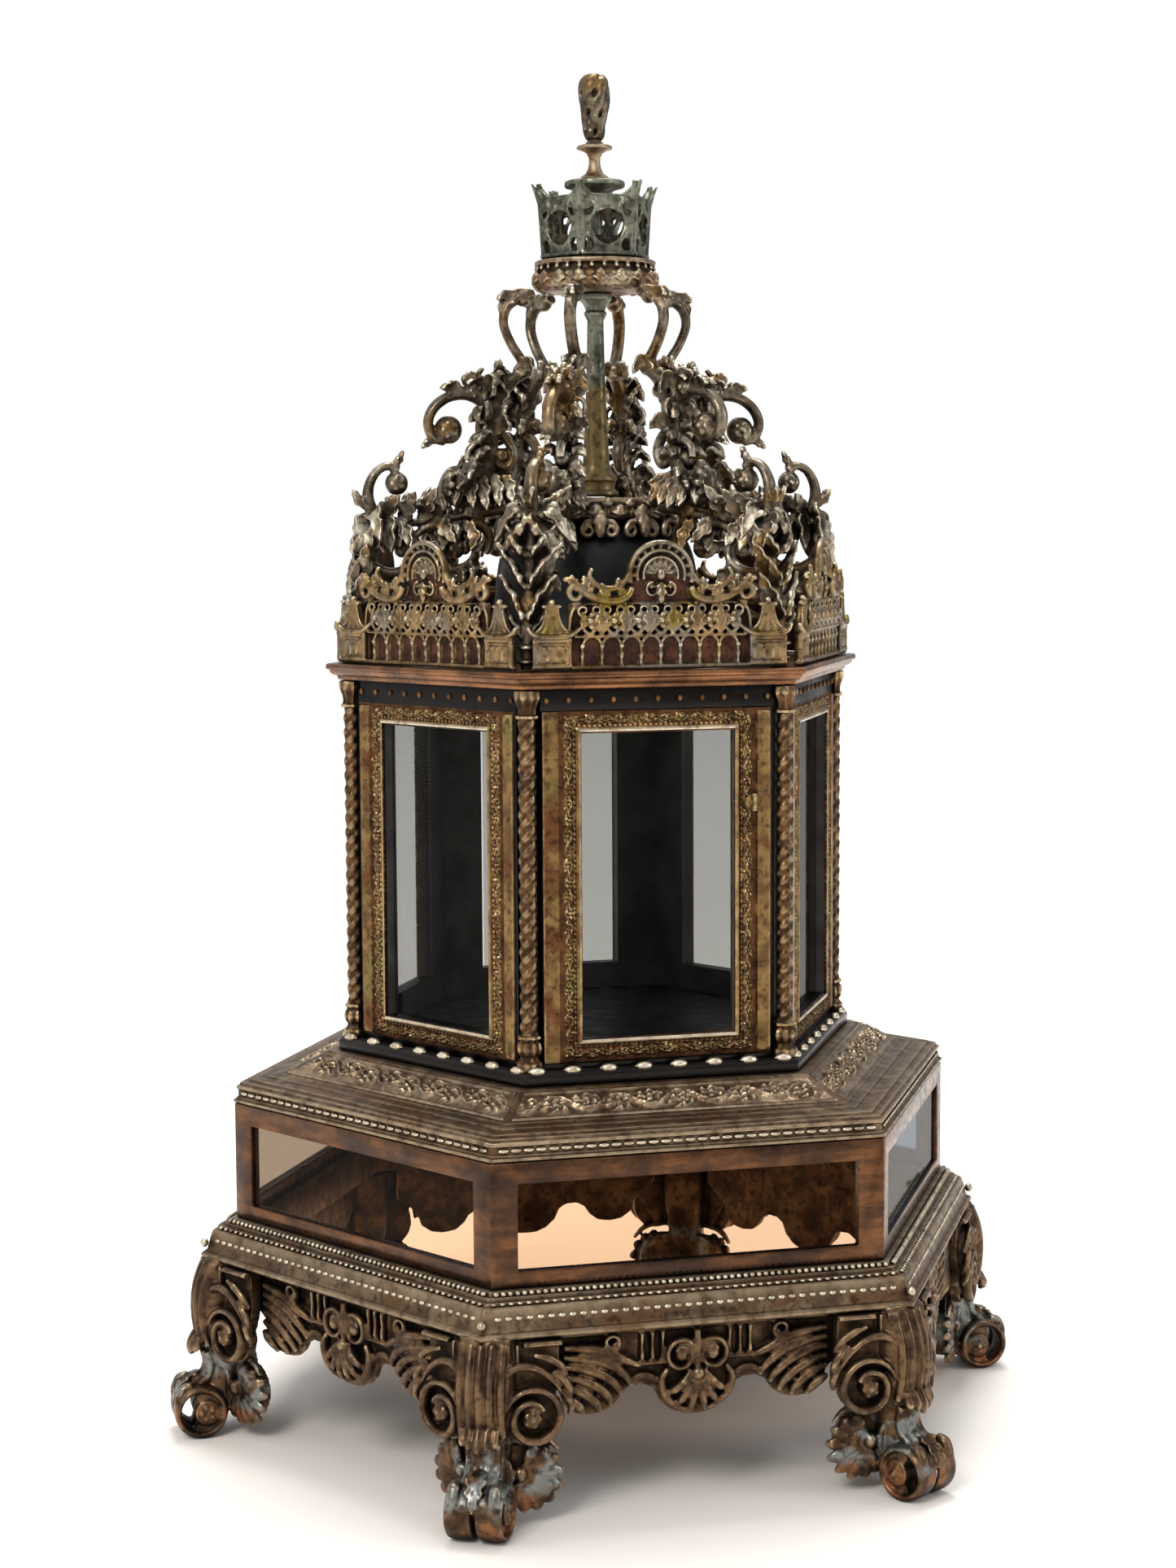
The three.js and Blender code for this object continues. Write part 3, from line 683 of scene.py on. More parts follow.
# Partly painted reflection: the lining is a mid grey, lighter than the dark inner walls' own colour, for the
# studio seen mirrored in them through the panes.
LINING = black_paint("dark_lining", (56, 54, 52), (80, 78, 75), (0.4, 0.6))
FLOOR_PAINT = black_paint("floor_black", (18, 17, 16), (40, 38, 36), (0.35, 0.6))
DOME_PAINT = black_paint("dome_black", (2, 3, 3), (7, 8, 8), (0.35, 0.55))
GLASS = pane_glass("clear_glass", (0.725, 0.73, 0.725, 1))
WARM_GLASS = pane_glass("warm_glass", (0.88, 0.72, 0.58, 1))
SMOKED_GLASS = pane_glass("smoked_glass", (0.58, 0.62, 0.66, 1))


# ---------------------------------------------------------------- legs and aprons
def leg_scroll_plane(radius=LEG["corner"]):
    """The face beside the corner: right runs along it, away from the corner."""
    return Plane((radius, 0, 0), (-math.sin(math.pi / 6), math.cos(math.pi / 6), 0))


def rosette(shape, plane, centre, radius, lift):
    """A volute: a rim that winds in to a boss, with a dark channel between them."""
    prism(shape, plane, spiral(centre, [radius - 1, radius - 1], (0, 350), 28), lift - 8, lift - 3.6)
    coil = spiral(centre, [radius - 1.5, radius - 1.7, radius * 0.6, radius * 0.4], (165, -330), 52)
    plane.rod(shape, coil, lift, [2.4, 3.9, 3.6, 2.8], [4.4, 5.2, 5, 4.4], 10)
    ball(shape, plane.at(centre, lift - 1), (radius * 0.34,) * 3)
    flower(shape, plane, centre, radius * 0.2, lift + 1.4, petals=5)


def flower(shape, plane, centre, radius, lift, petals=6):
    """Round petals about a raised middle."""
    for angle in np.arange(petals) * TAU / petals:
        spot = np.add(centre, (radius * math.cos(angle), radius * math.sin(angle)))
        ball(shape, plane.at(spot, lift), (radius * 0.55,) * 3, rows=5, columns=8)
    ball(shape, plane.at(centre, lift + radius * 0.35), (radius * 0.62,) * 3, rows=5, columns=8)


def shell(shape, plane, centre, reach, angles, width, lift=1.5):
    """Petals fanned out from a centre, as on a scallop shell."""
    for angle, length in zip(np.radians(angles), spread(reach, len(angles))):
        way = np.array([math.cos(angle), math.sin(angle)])
        line = np.array([np.add(centre, way * length * s) for s in (0.08, 0.35, 0.65, 0.9, 1.0)])
        rise = lift + np.array([0.2, 1.6, 2.2, 1.2, -0.4])
        widths = [1.4, 0.62 * width, width, 0.86 * width, 0.4 * width]
        plane.rod(shape, line, rise, widths, [2.6, 3.6, 3.8, 3.2, 1.6], 10)


def fronds(shape, plane, strokes, width, lift, depth=3.2):
    """Round ribs side by side, as on a big acanthus leaf. Each is drawn by a few points."""
    for points in strokes:
        line = spline(points, 5)
        rise = spread([lift, lift + 1.5, lift + 1.0, lift - 0.6], len(line))
        widths = [0.6 * width, width, width, 0.55 * width]
        plane.rod(shape, line, rise, widths, [0.8 * depth, depth, depth, 0.5 * depth])


def leg_side():
    """One side of a leg: the wing under the plinth with its rosette, and the shell beside the ankle."""
    shape = Shape()
    face = leg_scroll_plane()
    wing = [(-0.5, 78.4), (33.5, 78.4), (33.5, 60), (31, 52), (22, 37), (10, 36), (-1, 38)]
    prism(shape, face, wing, -9, -3.4)
    rosette(shape, face, LEG["rosette"], 13.2, 1.0)
    for i in range(4):
        bar = [(5.6 + 3.3 * i, 70.6), (5.6 + 3.3 * i, 77.4)]
        face.rod(shape, bar, -1.6, 1.8, 4)
    face.rod(shape, [(18, 77), (34, 77)], -1.2, 2.4, 5)
    arch = spline([(5, 57), (8.5, 64.5), (15, 68.6), (23, 67.6), (30, 62), (34.5, 55)], 5)
    face.rod(shape, arch, 0.6, [2, 3.4, 3.8, 3.6, 2.8, 1.4], [3, 4.6, 5, 4.6, 3.6, 2], 10)
    fronds(shape, face, (
        [(22, 73), (28, 71.5), (33, 68), (36, 63)], [(30, 66), (34, 62.5), (36.5, 58), (37, 53)],
        [(33, 58), (36, 54.5), (37, 51), (36.4, 47.5)], [(7, 54), (5.4, 49), (6, 43.5), (9.5, 39)],
    ), 3.4, 0.2)
    fan = leg_scroll_plane(LEG["shell"])
    prism(shape, fan, spiral((14.5, 21.5), [12.6, 12.6], (0, 350), 24), -5.5, -0.6)
    petals = (-106, -84, -63, -42, -21, 0, 21, 42, 64)
    shell(shape, fan, (13, 22), [14.5, 16.2, 17.6, 18.4, 18.6, 18, 17, 15.4, 13.6], petals, 5.8, lift=0)
    brim = spline([(4, 33.5), (9.5, 37.4), (17, 38), (24, 35.6), (28.6, 31)], 5)
    fan.rod(shape, brim, 1.2, [2.6, 3.2, 3, 2.6, 1.6], [4.4, 4.6, 4.2, 3.6, 2.4])
    ball(shape, fan.at((12.6, 22.6), 2.4), (3.4, 3.0, 3.4))
    hem = spline([(3, 33), (7.6, 27), (8, 19), (4.4, 11), (-2, 6)], 5)
    fan.rod(shape, hem, 2.2, [2.2, 3, 3, 2.6, 1.6], [4.6, 5, 4.8, 4.4, 3])
    return shape


def leg_toe(shape):
    """The scroll that the leg stands on: two discs side by side, each with an open crescent round its eye."""
    radius, height = LEG["toe"]
    for side in (-6.5, 6.5):
        rim = spiral((radius, height), [10.2, 10.2], (0, 360), 41)
        sweep(shape, RADIAL.at(rim, side), 3.2, 11.4, sides=12, power=3)
        web = np.vstack([spiral((radius, height), [9.6, 9.6], (72, 288), 24), [(radius + 0.4, height)]])
        prism(shape, RADIAL, web, side - 3.4, side + 3.4)
        eye = spiral((radius - 2.6, height - 0.3), [5.5, 5.5], (0, 350), 26)
        prism(shape, RADIAL, eye, side - 4.8, side + 4.8)
        front = Plane((0, -side - math.copysign(4.6, side), 0), (1, 0, 0))
        flower(shape, front, (radius - 2.6, height - 0.3), 2.5, 0, petals=5)


def leg_ankle(shape):
    """Hanging leaf tips under the reeded post, then a fluted neck that runs into the toe."""
    for y in (-6.6, -3.3, 0, 3.3, 6.6):
        inward = 0.045 * y * y
        tip = spline([(186.4 - inward, 45), (188.4 - inward, 40), (188 - inward, 35.6 + 0.5 * abs(y))], 5)
        sweep(shape, RADIAL.at(tip, y), [3, 4.2, 2.6], [3.2, 3.8, 2.6], sides=10)
        neck = spline([(183.4, 38), (182, 32), (183.6, 26.6), (188, 23.4)], 5) - (inward, 0)
        sweep(shape, RADIAL.at(neck, 0.9 * y), [3, 3, 3.2, 2.6], [3, 3, 3.2, 3], sides=10)
    for side in (-1, 1):
        lobe = spline([(189, 24), (193, 22.6), (195.4, 18), (196, 13)], 5)
        sweep(shape, RADIAL.at(lobe, 8.6 * side), [3, 3.6, 3, 1.4], [4.4, 5.4, 4.6, 2.6], sides=10)
    tongue = RADIAL.at([(184, 27.5), (190, 25.6), (194.6, 20.5), (196.2, 14)])
    leaf(shape, tongue, (0, -1, 0), 9, lobes=4, thick=2)


def carved_leg():
    """The leg at +X: a reeded post between two wings, which runs down into its toe."""
    shape = Shape()
    post = spline([(170, 78.3), (172.3, 67), (172.6, 57), (172, 47), (171.3, 38), (171, 30), (174, 22),
                   (177, 14)], 5)
    thickness = [22, 25, 26, 26, 21, 17, 17, 17]
    breadth = [23, 24, 24, 22, 18, 16, 16, 18]
    sweep(shape, RADIAL.at(post), thickness, breadth, sides=24, power=3)
    front = spline([(181.6, 78), (185.2, 68), (186.4, 58), (185.6, 48), (184, 41)], 6)
    for y in np.arange(-2, 3) * 4.2:
        reed = front - (0.036 * y * y, 0)
        sweep(shape, RADIAL.at(reed, y), [3, 3.6, 3.6, 3.2], [3.2, 3.6, 3.6, 3.2], sides=10)
    shape.pair(leg_side(), mirror_y)
    leg_ankle(shape)
    leg_toe(shape)
    return shape


APRON_EDGE = [
    (-68, 78.4), (-68, 62), (-57, 54), (-55, 47), (-50, 43.6), (-44, 42.6), (-37.5, 43.6), (-33, 47),
    (-30.5, 51), (-26, 53.4), (-20.5, 53), (-17, 51), (-14.5, 45.6), (-10, 41.6), (-5, 39.6), (0, 39.2),
]


def apron_side(face):
    """Half of a carved skirt: a ribbed leaf at the leg, a small arcade and half of the middle scrolls."""
    shape = Shape()
    face.rod(shape, [(-57, 77), (0.5, 77)], -2.2, 2.6, 5.5)
    fronds(shape, face, (
        [(-56, 72), (-48, 71.5), (-39, 69.5), (-30, 65), (-23.5, 62)],
        [(-56, 68), (-47, 67), (-38, 64.5), (-31, 59.5), (-27, 54)],
        [(-56, 64), (-48, 63), (-40, 60), (-34, 55), (-31.5, 50.5)],
        [(-56, 60), (-49, 58.6), (-42.5, 55.4), (-37.6, 51), (-35.6, 46.4)],
        [(-56, 56), (-50.5, 54.4), (-45.5, 51.4), (-42, 47.8), (-41, 44)],
        [(-56, 51.6), (-52.5, 50), (-49.5, 47.6), (-47.4, 44)],
    ), 4.4, -0.8, 4.4)
    scroll = spiral((-36, 73), [3.6, 1.4], (-90, 360), 30)
    face.rod(shape, scroll, 0.2, [2.2, 1.6], [4, 3.4])
    for x in (-23, -18.6, -14.2):
        face.rod(shape, [(x, 65), (x, 70), (x, 75.6)], -1.2, [2.2, 1.5, 2.2], [4, 3, 4])
    hollow = spline([(-29, 54.6), (-24, 57.4), (-18.5, 56.6), (-14.6, 53)], 5)
    face.rod(shape, hollow, -2, [3, 3.6, 3], 3.6)
    face.rod(shape, [(-24, 63), (-11, 63)], -1.4, 2.4, 4)
    curl = spiral((-6.6, 65.6), [6.4, 5.6, 2.6], (10, 10 + 500), 40)
    face.rod(shape, curl, 0.2, [2.6, 2.6, 1.8], [4.6, 4.4, 3.6])
    ball(shape, face.at((-6.6, 65.6), 0.4), (2.9, 2.6, 2.9))
    bow = spline([(-12.5, 60), (-15, 55), (-13.4, 49), (-9, 44.6), (-3, 42)], 5)
    face.rod(shape, bow, -0.6, [2.2, 3.6, 3.8, 3, 1.6], [3.4, 4.8, 4.8, 4, 2.6], 10)
    fronds(shape, face, (
        [(-2.6, 59), (-6, 54.6), (-9.4, 51.6), (-12.6, 50)],
        [(-1.8, 57), (-4, 51.6), (-6.6, 47.6), (-9.2, 45)],
        [(-0.6, 56.6), (-1.4, 50.6), (-2.4, 46), (-3.4, 42.6)],
    ), 3.6, 0.6, 3.6)
    return shape


def carved_apron():
    """The skirt between the two front legs: a lobed plate with carving on it."""
    face = face_plane(APRON["radius"])
    left = np.array(APRON_EDGE)
    skirt = np.vstack([left, (left * (-1, 1))[-2::-1]])
    shape = Shape()
    prism(shape, face, skirt, APRON["back"], -3.2)
    shape.pair(apron_side(face), mirror_x)
    face.rod(shape, [(0, 76), (0, 68), (0, 58)], 0.6, [3, 4, 2.6], [3.6, 4.6, 3.6], 10)
    ball(shape, face.at((0, 57.6), 1.8), (3, 2.6, 3))
    return shape


def make_stand():
    """The six legs and the six aprons."""
    legs = cast(carved_leg(), 0.6, 0.3)
    around(legs, "carved_leg", CORNERS, "dark_bronze", [CARVED], "leg")
    skirts = cast(carved_apron(), 0.6, 0.3)
    around(skirts, "carved_apron", FACES, "dark_bronze", [CARVED], "apron")


# ---------------------------------------------------------------- plinth
BASE_PROFILE = [
    (157, 79), (182.4, 79), (183, 79.8), (183, 80.8), (182.2, 81.6), (180.8, 82), (180.2, 83), (179.6, 85),
    (178.8, 88), (177.8, 90.6), (177, 91.4), (175.2, 91.6), (174.8, 92.6), (172.6, 92.9), (172.2, 94.2),
    (170, 94.4), (169.6, 96), (157, 96),
]
CORNICE_PROFILE = [
    (157, 147.8), (166.9, 147.8), (167.5, 148.3), (167.4, 149.2), (166.2, 149.5), (165.9, 150.3),
    (165.2, 150.6), (165.2, 153.6), (166, 154), (166, 155.2), (164.6, 155.6), (164.2, 156.8), (160.8, 157),
    (160.4, 157.8), (152.6, 158), (152, 158.7), (147.2, 158.9), (146.6, 159.4), (145.2, 159.7),
    (125.6, 168.0), (124.8, 168.7), (100, 168.7), (100, 163.5), (122, 163.5), (143, 153.4), (157, 152.6),
]
FLOOR_PROFILE = [(0, 169), (119.6, 169), (120, 169.4), (120, 172.8), (119, 174.3), (0, 174.3)]
ROOF_PROFILE = [
    (0, 333.7), (117.6, 333.7), (118.2, 334.2), (118.4, 335.4), (120.4, 336), (121.6, 337), (122, 338.2),
    (123.3, 338.5), (123.5, 339), (123.4, 340.4), (122.6, 341), (0, 341),
]


def make_base_moulding():
    """The moulded ring over the legs, with three rows of beads and a stud at each corner."""
    shape = Shape()
    revolve(shape, BASE_PROFILE, ring=True)
    body = machined(shape, 0.25)
    keep(body, "base_moulding_fine", "pale_brass", [BASE_METAL], ["base_moulding"])
    beads = Shape()
    bead_row(beads, 171.4, 95.2, 2.9, (1.15, 1.2, 1.15))
    bead_row(beads, 179.2, 87, 4.4, (1.5, 0.7, 0.9), margin=4)
    bead_row(beads, 175.8, 92.3, 3.6, (1.1, 0.9, 0.7))
    beads = all_faces(beads)
    for turn in range(SIDES):
        ball(beads, turned(np.array([181.4, 0, 85.5]), turn * SECTOR), (1.9, 1.9, 1.9))
    keep(machined(beads, 0.01, 80), "base_beads", "pale_brass", [PALE])


def slope_relief(profile_low, profile_high, rows=40, columns=200):
    """Chased foliage on the sloping face between two profile points, drawn on the front face."""
    (r0, z0), (r1, z1) = profile_low, profile_high
    v = np.linspace(0, 1, rows)[:, None]
    radius = r0 + (r1 - r0) * v
    edge = 2.2 / radius
    share = np.linspace(-1, 1, columns)[None, :]
    x = share * (0.5 - edge) * radius
    y = -apothem(1) * radius + 0 * x
    z = z0 + (z1 - z0) * v + 0 * x
    rise = math.hypot(apothem(r0 - r1), z1 - z0)
    u = 2 * v - 1
    border = np.clip(8 * (1 - np.abs(u)), 0, 1) * np.clip(14 * (1 - np.abs(share)), 0, 1)
    pattern = foliage(x + 3, u * 1.15, 27) + 0.35 * foliage(x - 5, 1.6 * u, 11)
    height = 0.1 + 1.8 * np.clip(pattern, 0, 1.15) * border + 0.5 * bump(np.abs(u) - 0.9, 0.07)
    out = np.array([0, -(z1 - z0), -apothem(r1 - r0)]) / rise
    shape = Shape()
    slab(shape, np.stack([x, y, z], -1), out, height, -0.8)
    return shape


def make_slope_chasing():
    """The chased foliage on the cornice's slope, in pale brass as painted light and highlight, with a darker
    ground between the flowers.
    """
    (r0, z0), (r1, z1) = low, high = (144.6, 159.9), (126.2, 167.8)
    out = unit(np.array([0, z0 - z1, apothem(r1 - r0)]))
    start = np.array([0, -apothem(r0), z0])
    chased = machined(slope_relief(low, high), 0.01, 80)
    painted(chased, lambda spot, normal: (spot - start) @ out < 0.42)
    around(chased, "cornice_chasing", FACES, "pale_brass", [SLOPE_HIGHLIGHT, SLOPE_GROUND])


def make_plinth():
    """The glazed plinth's mouldings, frame and cornice."""
    make_base_moulding()
    keep(refined("plinth_frame", 0.6), "plinth_frame_fine", "brown_brass", [BROWN], ["plinth_frame"])
    shape = Shape()
    revolve(shape, CORNICE_PROFILE, ring=True)
    keep(machined(shape, 0.22), "plinth_cornice_fine", "pale_brass", [BASE_METAL], ["plinth_cornice"])
    make_slope_chasing()
    bead_rings("cornice_beads", PALE, (165.9, 152.1, 5.2, (2.2, 0.5, 0.8), 3))


def make_lantern_floor():
    """The lantern's floor plate, dark inside and brown at its rim, with the row of long beads on it, which
    are painted pale as a painted highlight.
    """
    shape = Shape()
    revolve(shape, FLOOR_PROFILE)
    made = painted(machined(shape, 0.3), lambda spot, normal: normal[2] < 0.9)
    keep(made, "lantern_floor_fine", "dark_lining", [FLOOR_PAINT, FRIEZE], ["lantern_floor"])
    bead_rings("floor_beads", SILL_HIGHLIGHT, (117.6, 174.8, 15.4, (3.9, 2.2, 2.0), 4))


# ---------------------------------------------------------------- lantern
def frame_relief(hinged=False, step=0.55):
    """A window frame's front: a plain band up each stile, a chased band all round, and a rounded sill that
    later takes a painted highlight.
    """
    xs = np.arange(-DOOR["half"], DOOR["half"] + step / 2, step)
    zs = np.arange(DOOR["bottom"], DOOR["top"] + step / 2, step)
    x, z = np.meshgrid(xs, zs)
    beside = np.abs(x) - WINDOW["half"]
    above = np.maximum(WINDOW["bottom"] - z, z - WINDOW["top"])
    inset = np.maximum(beside, above)
    along = np.where(beside >= above, z - 250, x)
    border = np.minimum(DOOR["half"] - np.abs(x), np.minimum(z - DOOR["bottom"], DOOR["top"] - z))
    chased = np.clip(1 - np.abs((inset - 5.9) / 3.3) ** 8, 0, 1)
    pattern = foliage(along, (inset - 5.9) / 2.7, 13) + 0.7 * beading(along, (inset - 3.2) / 0.6, 2.2)
    sill = np.sqrt(np.clip(1 - ((inset - 1.3) / 1.2) ** 2, 0, 1))
    plain = np.clip(4 - 4 * np.abs((inset - 13.2) / 3.3) ** 6, 0, 1) * (beside >= above)
    height = 0.15 + 1.35 * chased * pattern + 1.3 * sill + 0.95 * plain
    height = np.where(border < 0.6, np.minimum(height, 0.3), height)
    if hinged:
        height = np.where(x < -42.8, np.minimum(height, 0.25), height)
    cells = inset[:-1, :-1], inset[1:, 1:], inset[:-1, 1:], inset[1:, :-1]
    shape = Shape()
    base = np.stack([x, np.full_like(x, -apothem(LANTERN["radius"])), z], -1)
    slab(shape, base, np.array([0, -1, 0]), height, -0.4, np.minimum.reduce(cells) > 0.3)
    return shape


def looks_inwards(spot, normal):
    return normal[:2] @ spot[:2] < -0.3 * math.hypot(*spot[:2])


def thin_wall(made, inside, by):
    """Moves a six-sided wall's inner face outwards, so that less of its thickness shows round the panes."""
    normals = [(math.sin(turn * SECTOR), -math.cos(turn * SECTOR)) for turn in range(SIDES)]
    for vertex in made.data.vertices:
        x, y = vertex.co.x / MM, vertex.co.y / MM
        if max(x * nx + y * ny for nx, ny in normals) < inside + 1.5:
            vertex.co.x *= (inside + by) / inside
            vertex.co.y *= (inside + by) / inside


def relief_material(spot, normal):
    """1 on the ground between the chased flowers, 2 on the sills, which take the painted highlight, and 0
    elsewhere.
    """
    x, y, z = spot
    beside = abs(x) - WINDOW["half"]
    above = max(WINDOW["bottom"] - z, z - WINDOW["top"])
    if -y - apothem(LANTERN["radius"]) < 0.5 and x > -43:
        return 1
    return 2 if beside < above < 2.6 else 0


def rope(shape, radius, z0, z1, strands=3, pitch=19.0):
    """Twisted strands standing on the Z axis."""
    rows = int((z1 - z0) / 0.75)
    z = np.linspace(z0, z1, rows)[:, None]
    angle = (TAU * np.arange(30) / 30)[None, :]
    lobe = np.abs(np.cos(strands / 2 * (angle - TAU * z / pitch)))
    knob = np.abs(np.cos(strands / 2 * (angle + TAU * z / pitch)))
    r = radius * (0.66 + 0.24 * lobe**0.8 + 0.1 * knob)
    shape.add(np.stack([r * np.cos(angle), r * np.sin(angle), z + 0 * angle], -1), tube_faces(rows, 30))


def fluting(angle, z):
    """Eight shallow flutes."""
    return 0.35 * np.cos(8 * angle) + 0 * z


def corner_column():
    """The rope-turned column at +X, between a turned base and a flared cap."""
    bottom, top = COLUMN["bottom"], COLUMN["top"]
    shape = Shape()
    base = [(4.9, 0), (5.2, 0.4), (5.2, 3.2), (4.6, 3.8), (3.6, 5), (3.5, 6), (4.6, 7.4), (5.1, 9.4),
            (4.7, 11.4), (3.7, 12.6), (3.8, 13.2), (4.6, 13.6), (4.6, 14.6), (3.4, 15.2)]
    cap = [(3.4, 0), (4.5, 0.4), (4.6, 1.4), (3.7, 2), (3.5, 3.4), (3.9, 5.6), (4.9, 7.8), (5.2, 8.4),
           (5.2, 11.4), (4.8, 11.9)]
    revolve(shape, [(r, z + bottom) for r, z in base], 32, fluting)
    revolve(shape, [(r, z + top - COLUMN["cap"]) for r, z in cap], 32, fluting)
    rope(shape, 3.9, bottom + COLUMN["base"] - 0.6, top - COLUMN["cap"] + 0.6)
    whole = Shape()
    whole.take(shape, lambda points: points + (COLUMN["radius"], 0, 0))
    return whole


def repaint(node, material):
    """Gives a CAD node that is shown as it is its material."""
    node.data.materials.clear()
    node.data.materials.append(material)


def frame_front(hinged=False):
    """A frame's chased front, with its gilt, its darker chased ground and its sill in a painted highlight."""
    return painted(thinned(machined(frame_relief(hinged), 0.01, 80), 0.45), relief_material)


def make_frames():
    """The cage with its five fixed frames, and the door."""
    cage = painted(refined("lantern_cage", 0.35), looks_inwards)
    keep(cage, "lantern_cage_fine", "gilt_brass", [FRIEZE, LINING], ["lantern_cage"])
    thin_wall(cage, apothem(LANTERN["radius"]) - LANTERN["wall"], 2.7)
    frame_materials = [GILT, GROUND, SILL_HIGHLIGHT]
    sides = {number: turn for number, turn in FACES.items() if number > 1}
    keep(frame_front(hinged=True), "door_chasing", "gilt_brass", frame_materials, body="door")
    around(frame_front(), "face_frame", sides, "gilt_brass", frame_materials)
    door = painted(refined("door_frame", 0.35), looks_inwards)
    keep(door, "door_frame_fine", "gilt_brass", [BROWN, LINING], ["door_frame"], "door")


def paint_panes_and_pins():
    """The two plinth panes in front are warm, the rest smoked. The lantern's are clear."""
    for name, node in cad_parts.items():
        if name in ("plinth_glass_1", "plinth_glass_6"):
            repaint(node, WARM_GLASS)
        elif name.startswith("plinth_glass"):
            repaint(node, SMOKED_GLASS)
        elif "glass" in name:
            repaint(node, GLASS)
        elif name.startswith("pivot_pin"):
            repaint(node, BRONZE)


def make_lantern():
    """The lantern: its frames, the studs on its frieze, its columns and the roof plate."""
    make_frames()
    bead_rings("frieze_beads", GROUND, (LANTERN["radius"] + 0.2, 329, 9.6, (1.1, 1.0, 1.5), 8))
    columns = machined(corner_column(), 0.01, 80)
    around(columns, "rope_column", CORNERS, "gilt_brass", [COLUMN_METAL], "column")
    roof = Shape()
    revolve(roof, ROOF_PROFILE)
    keep(machined(roof, 0.3), "roof_plate_fine", "brown_brass", [ROOF_BROWN], ["roof_plate"])
    paint_panes_and_pins()


def make_latch():
    """The door's thumb turn: a round rose and waisted grip in front, and a cam behind the stile."""
    low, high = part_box("latch_knob")
    x = (low.x + high.x) / 2 / MM
    z = high.z / MM - 3.8
    front, back = -low.y / MM, -high.y / MM
    wall = apothem(LANTERN["radius"])
    rose = Shape()
    revolve(rose, [(0.1, 0), (3.2, 0), (3.4, 0.3), (3.1, 1.0), (2.2, 1.5), (1.6, 1.9), (1.4, 2.6),
                   (0.1, 2.8)], 40)
    shape = Shape()
    shape.take(rose, lambda p: np.stack([p[:, 0] + x, -wall - 1.3 - p[:, 2], p[:, 1] + z], -1))
    turn = Plane((x, 0, z), (1, 0, 0))
    grip = spline([(0, -3.6), (0, -1.8), (0, 0), (0, 1.8), (0, 3.6)], 5)
    turn.rod(shape, grip, front - 1.8, [2.4, 2.2, 1.6, 2.2, 2.4], [2.6, 3.4, 3.0, 3.4, 2.6], 14)
    spindle = turn.at([(0, 0), (0, 0)], np.array([back, wall + 2]))
    sweep(shape, spindle, 3.2, 3.2, (0, 0, 1), 20)
    cam = np.vstack([spiral((0, 0), [2.2, 2.2], (0, 180), 12), spiral((0, -7.6), [1.8, 1.8], (180, 360), 12)])
    prism(shape, turn, cam, back, back + 1.5)
    keep(machined(shape, 0.05, 60), "latch_turn_grip", "gilt_brass", [GILT], ["latch_knob"], "latch")


# ---------------------------------------------------------------- roof
def crest_arcade(shape, face):
    """Small turned balusters under round arches, between two rails."""
    pitch = CRESTING["pitch"]
    face.rod(shape, [(-55, 1.1), (55, 1.1)], 0, 2.2, 3.4, power=4)
    face.rod(shape, [(-37, 14), (37, 14)], 0.3, 1.6, 3)
    for i in range(9):
        x = (i - 4) * pitch
        post = [(x, 1.5), (x, 4), (x, 6), (x, 8), (x, 9.5)]
        face.rod(shape, post, 0, [2.4, 1.3, 2.2, 1.3, 2.4], [2.4, 1.4, 2.2, 1.4, 2.4])
        ball(shape, face.at((x, 10), 0.2), (1.3, 1.4, 1.0), rows=5, columns=8)
        if i < 8:
            arch = spiral((x + pitch / 2, 9.6), [4.1, 4.1], (180, 0), 13)
            face.rod(shape, arch, 0.1, 1.5, 2.2)


def crest_flowers(shape, face):
    """A row of flowers between small upright leaves, tied by running scrolls."""
    for i in range(7):
        x = (i - 3) * 10.2
        flower(shape, face, (x, 20.4), 2.4, 1.3, petals=5)
        for way in (-1, 1):
            curl = spiral((x + way * 2.7, 24.6), [2.4, 0.8], (-90, -90 + way * 400), 22)
            face.rod(shape, curl, 0.8, [1.6, 1.1], [2.8, 2.2], 6)
            stem = spline([(x, 15), (x + way * 2.2, 16.5), (x + way * 3.6, 19.5), (x + way * 2.7, 22.6)], 4)
            face.rod(shape, stem, 0.7, [2, 1.4], [3, 2.6], 6)
        if i < 6:
            spine = face.at([(x + 5.1, z) for z in (14.5, 19, 23, 26.6)], [0.6, 1.8, 1.6, 0.8])
            leaf(shape, spine, (1, 0, 0), 5, lobes=3, thick=2)
            ball(shape, face.at((x + 5.1, 27), 0.2), (1.1, 1.1, 1.1), rows=5, columns=8)


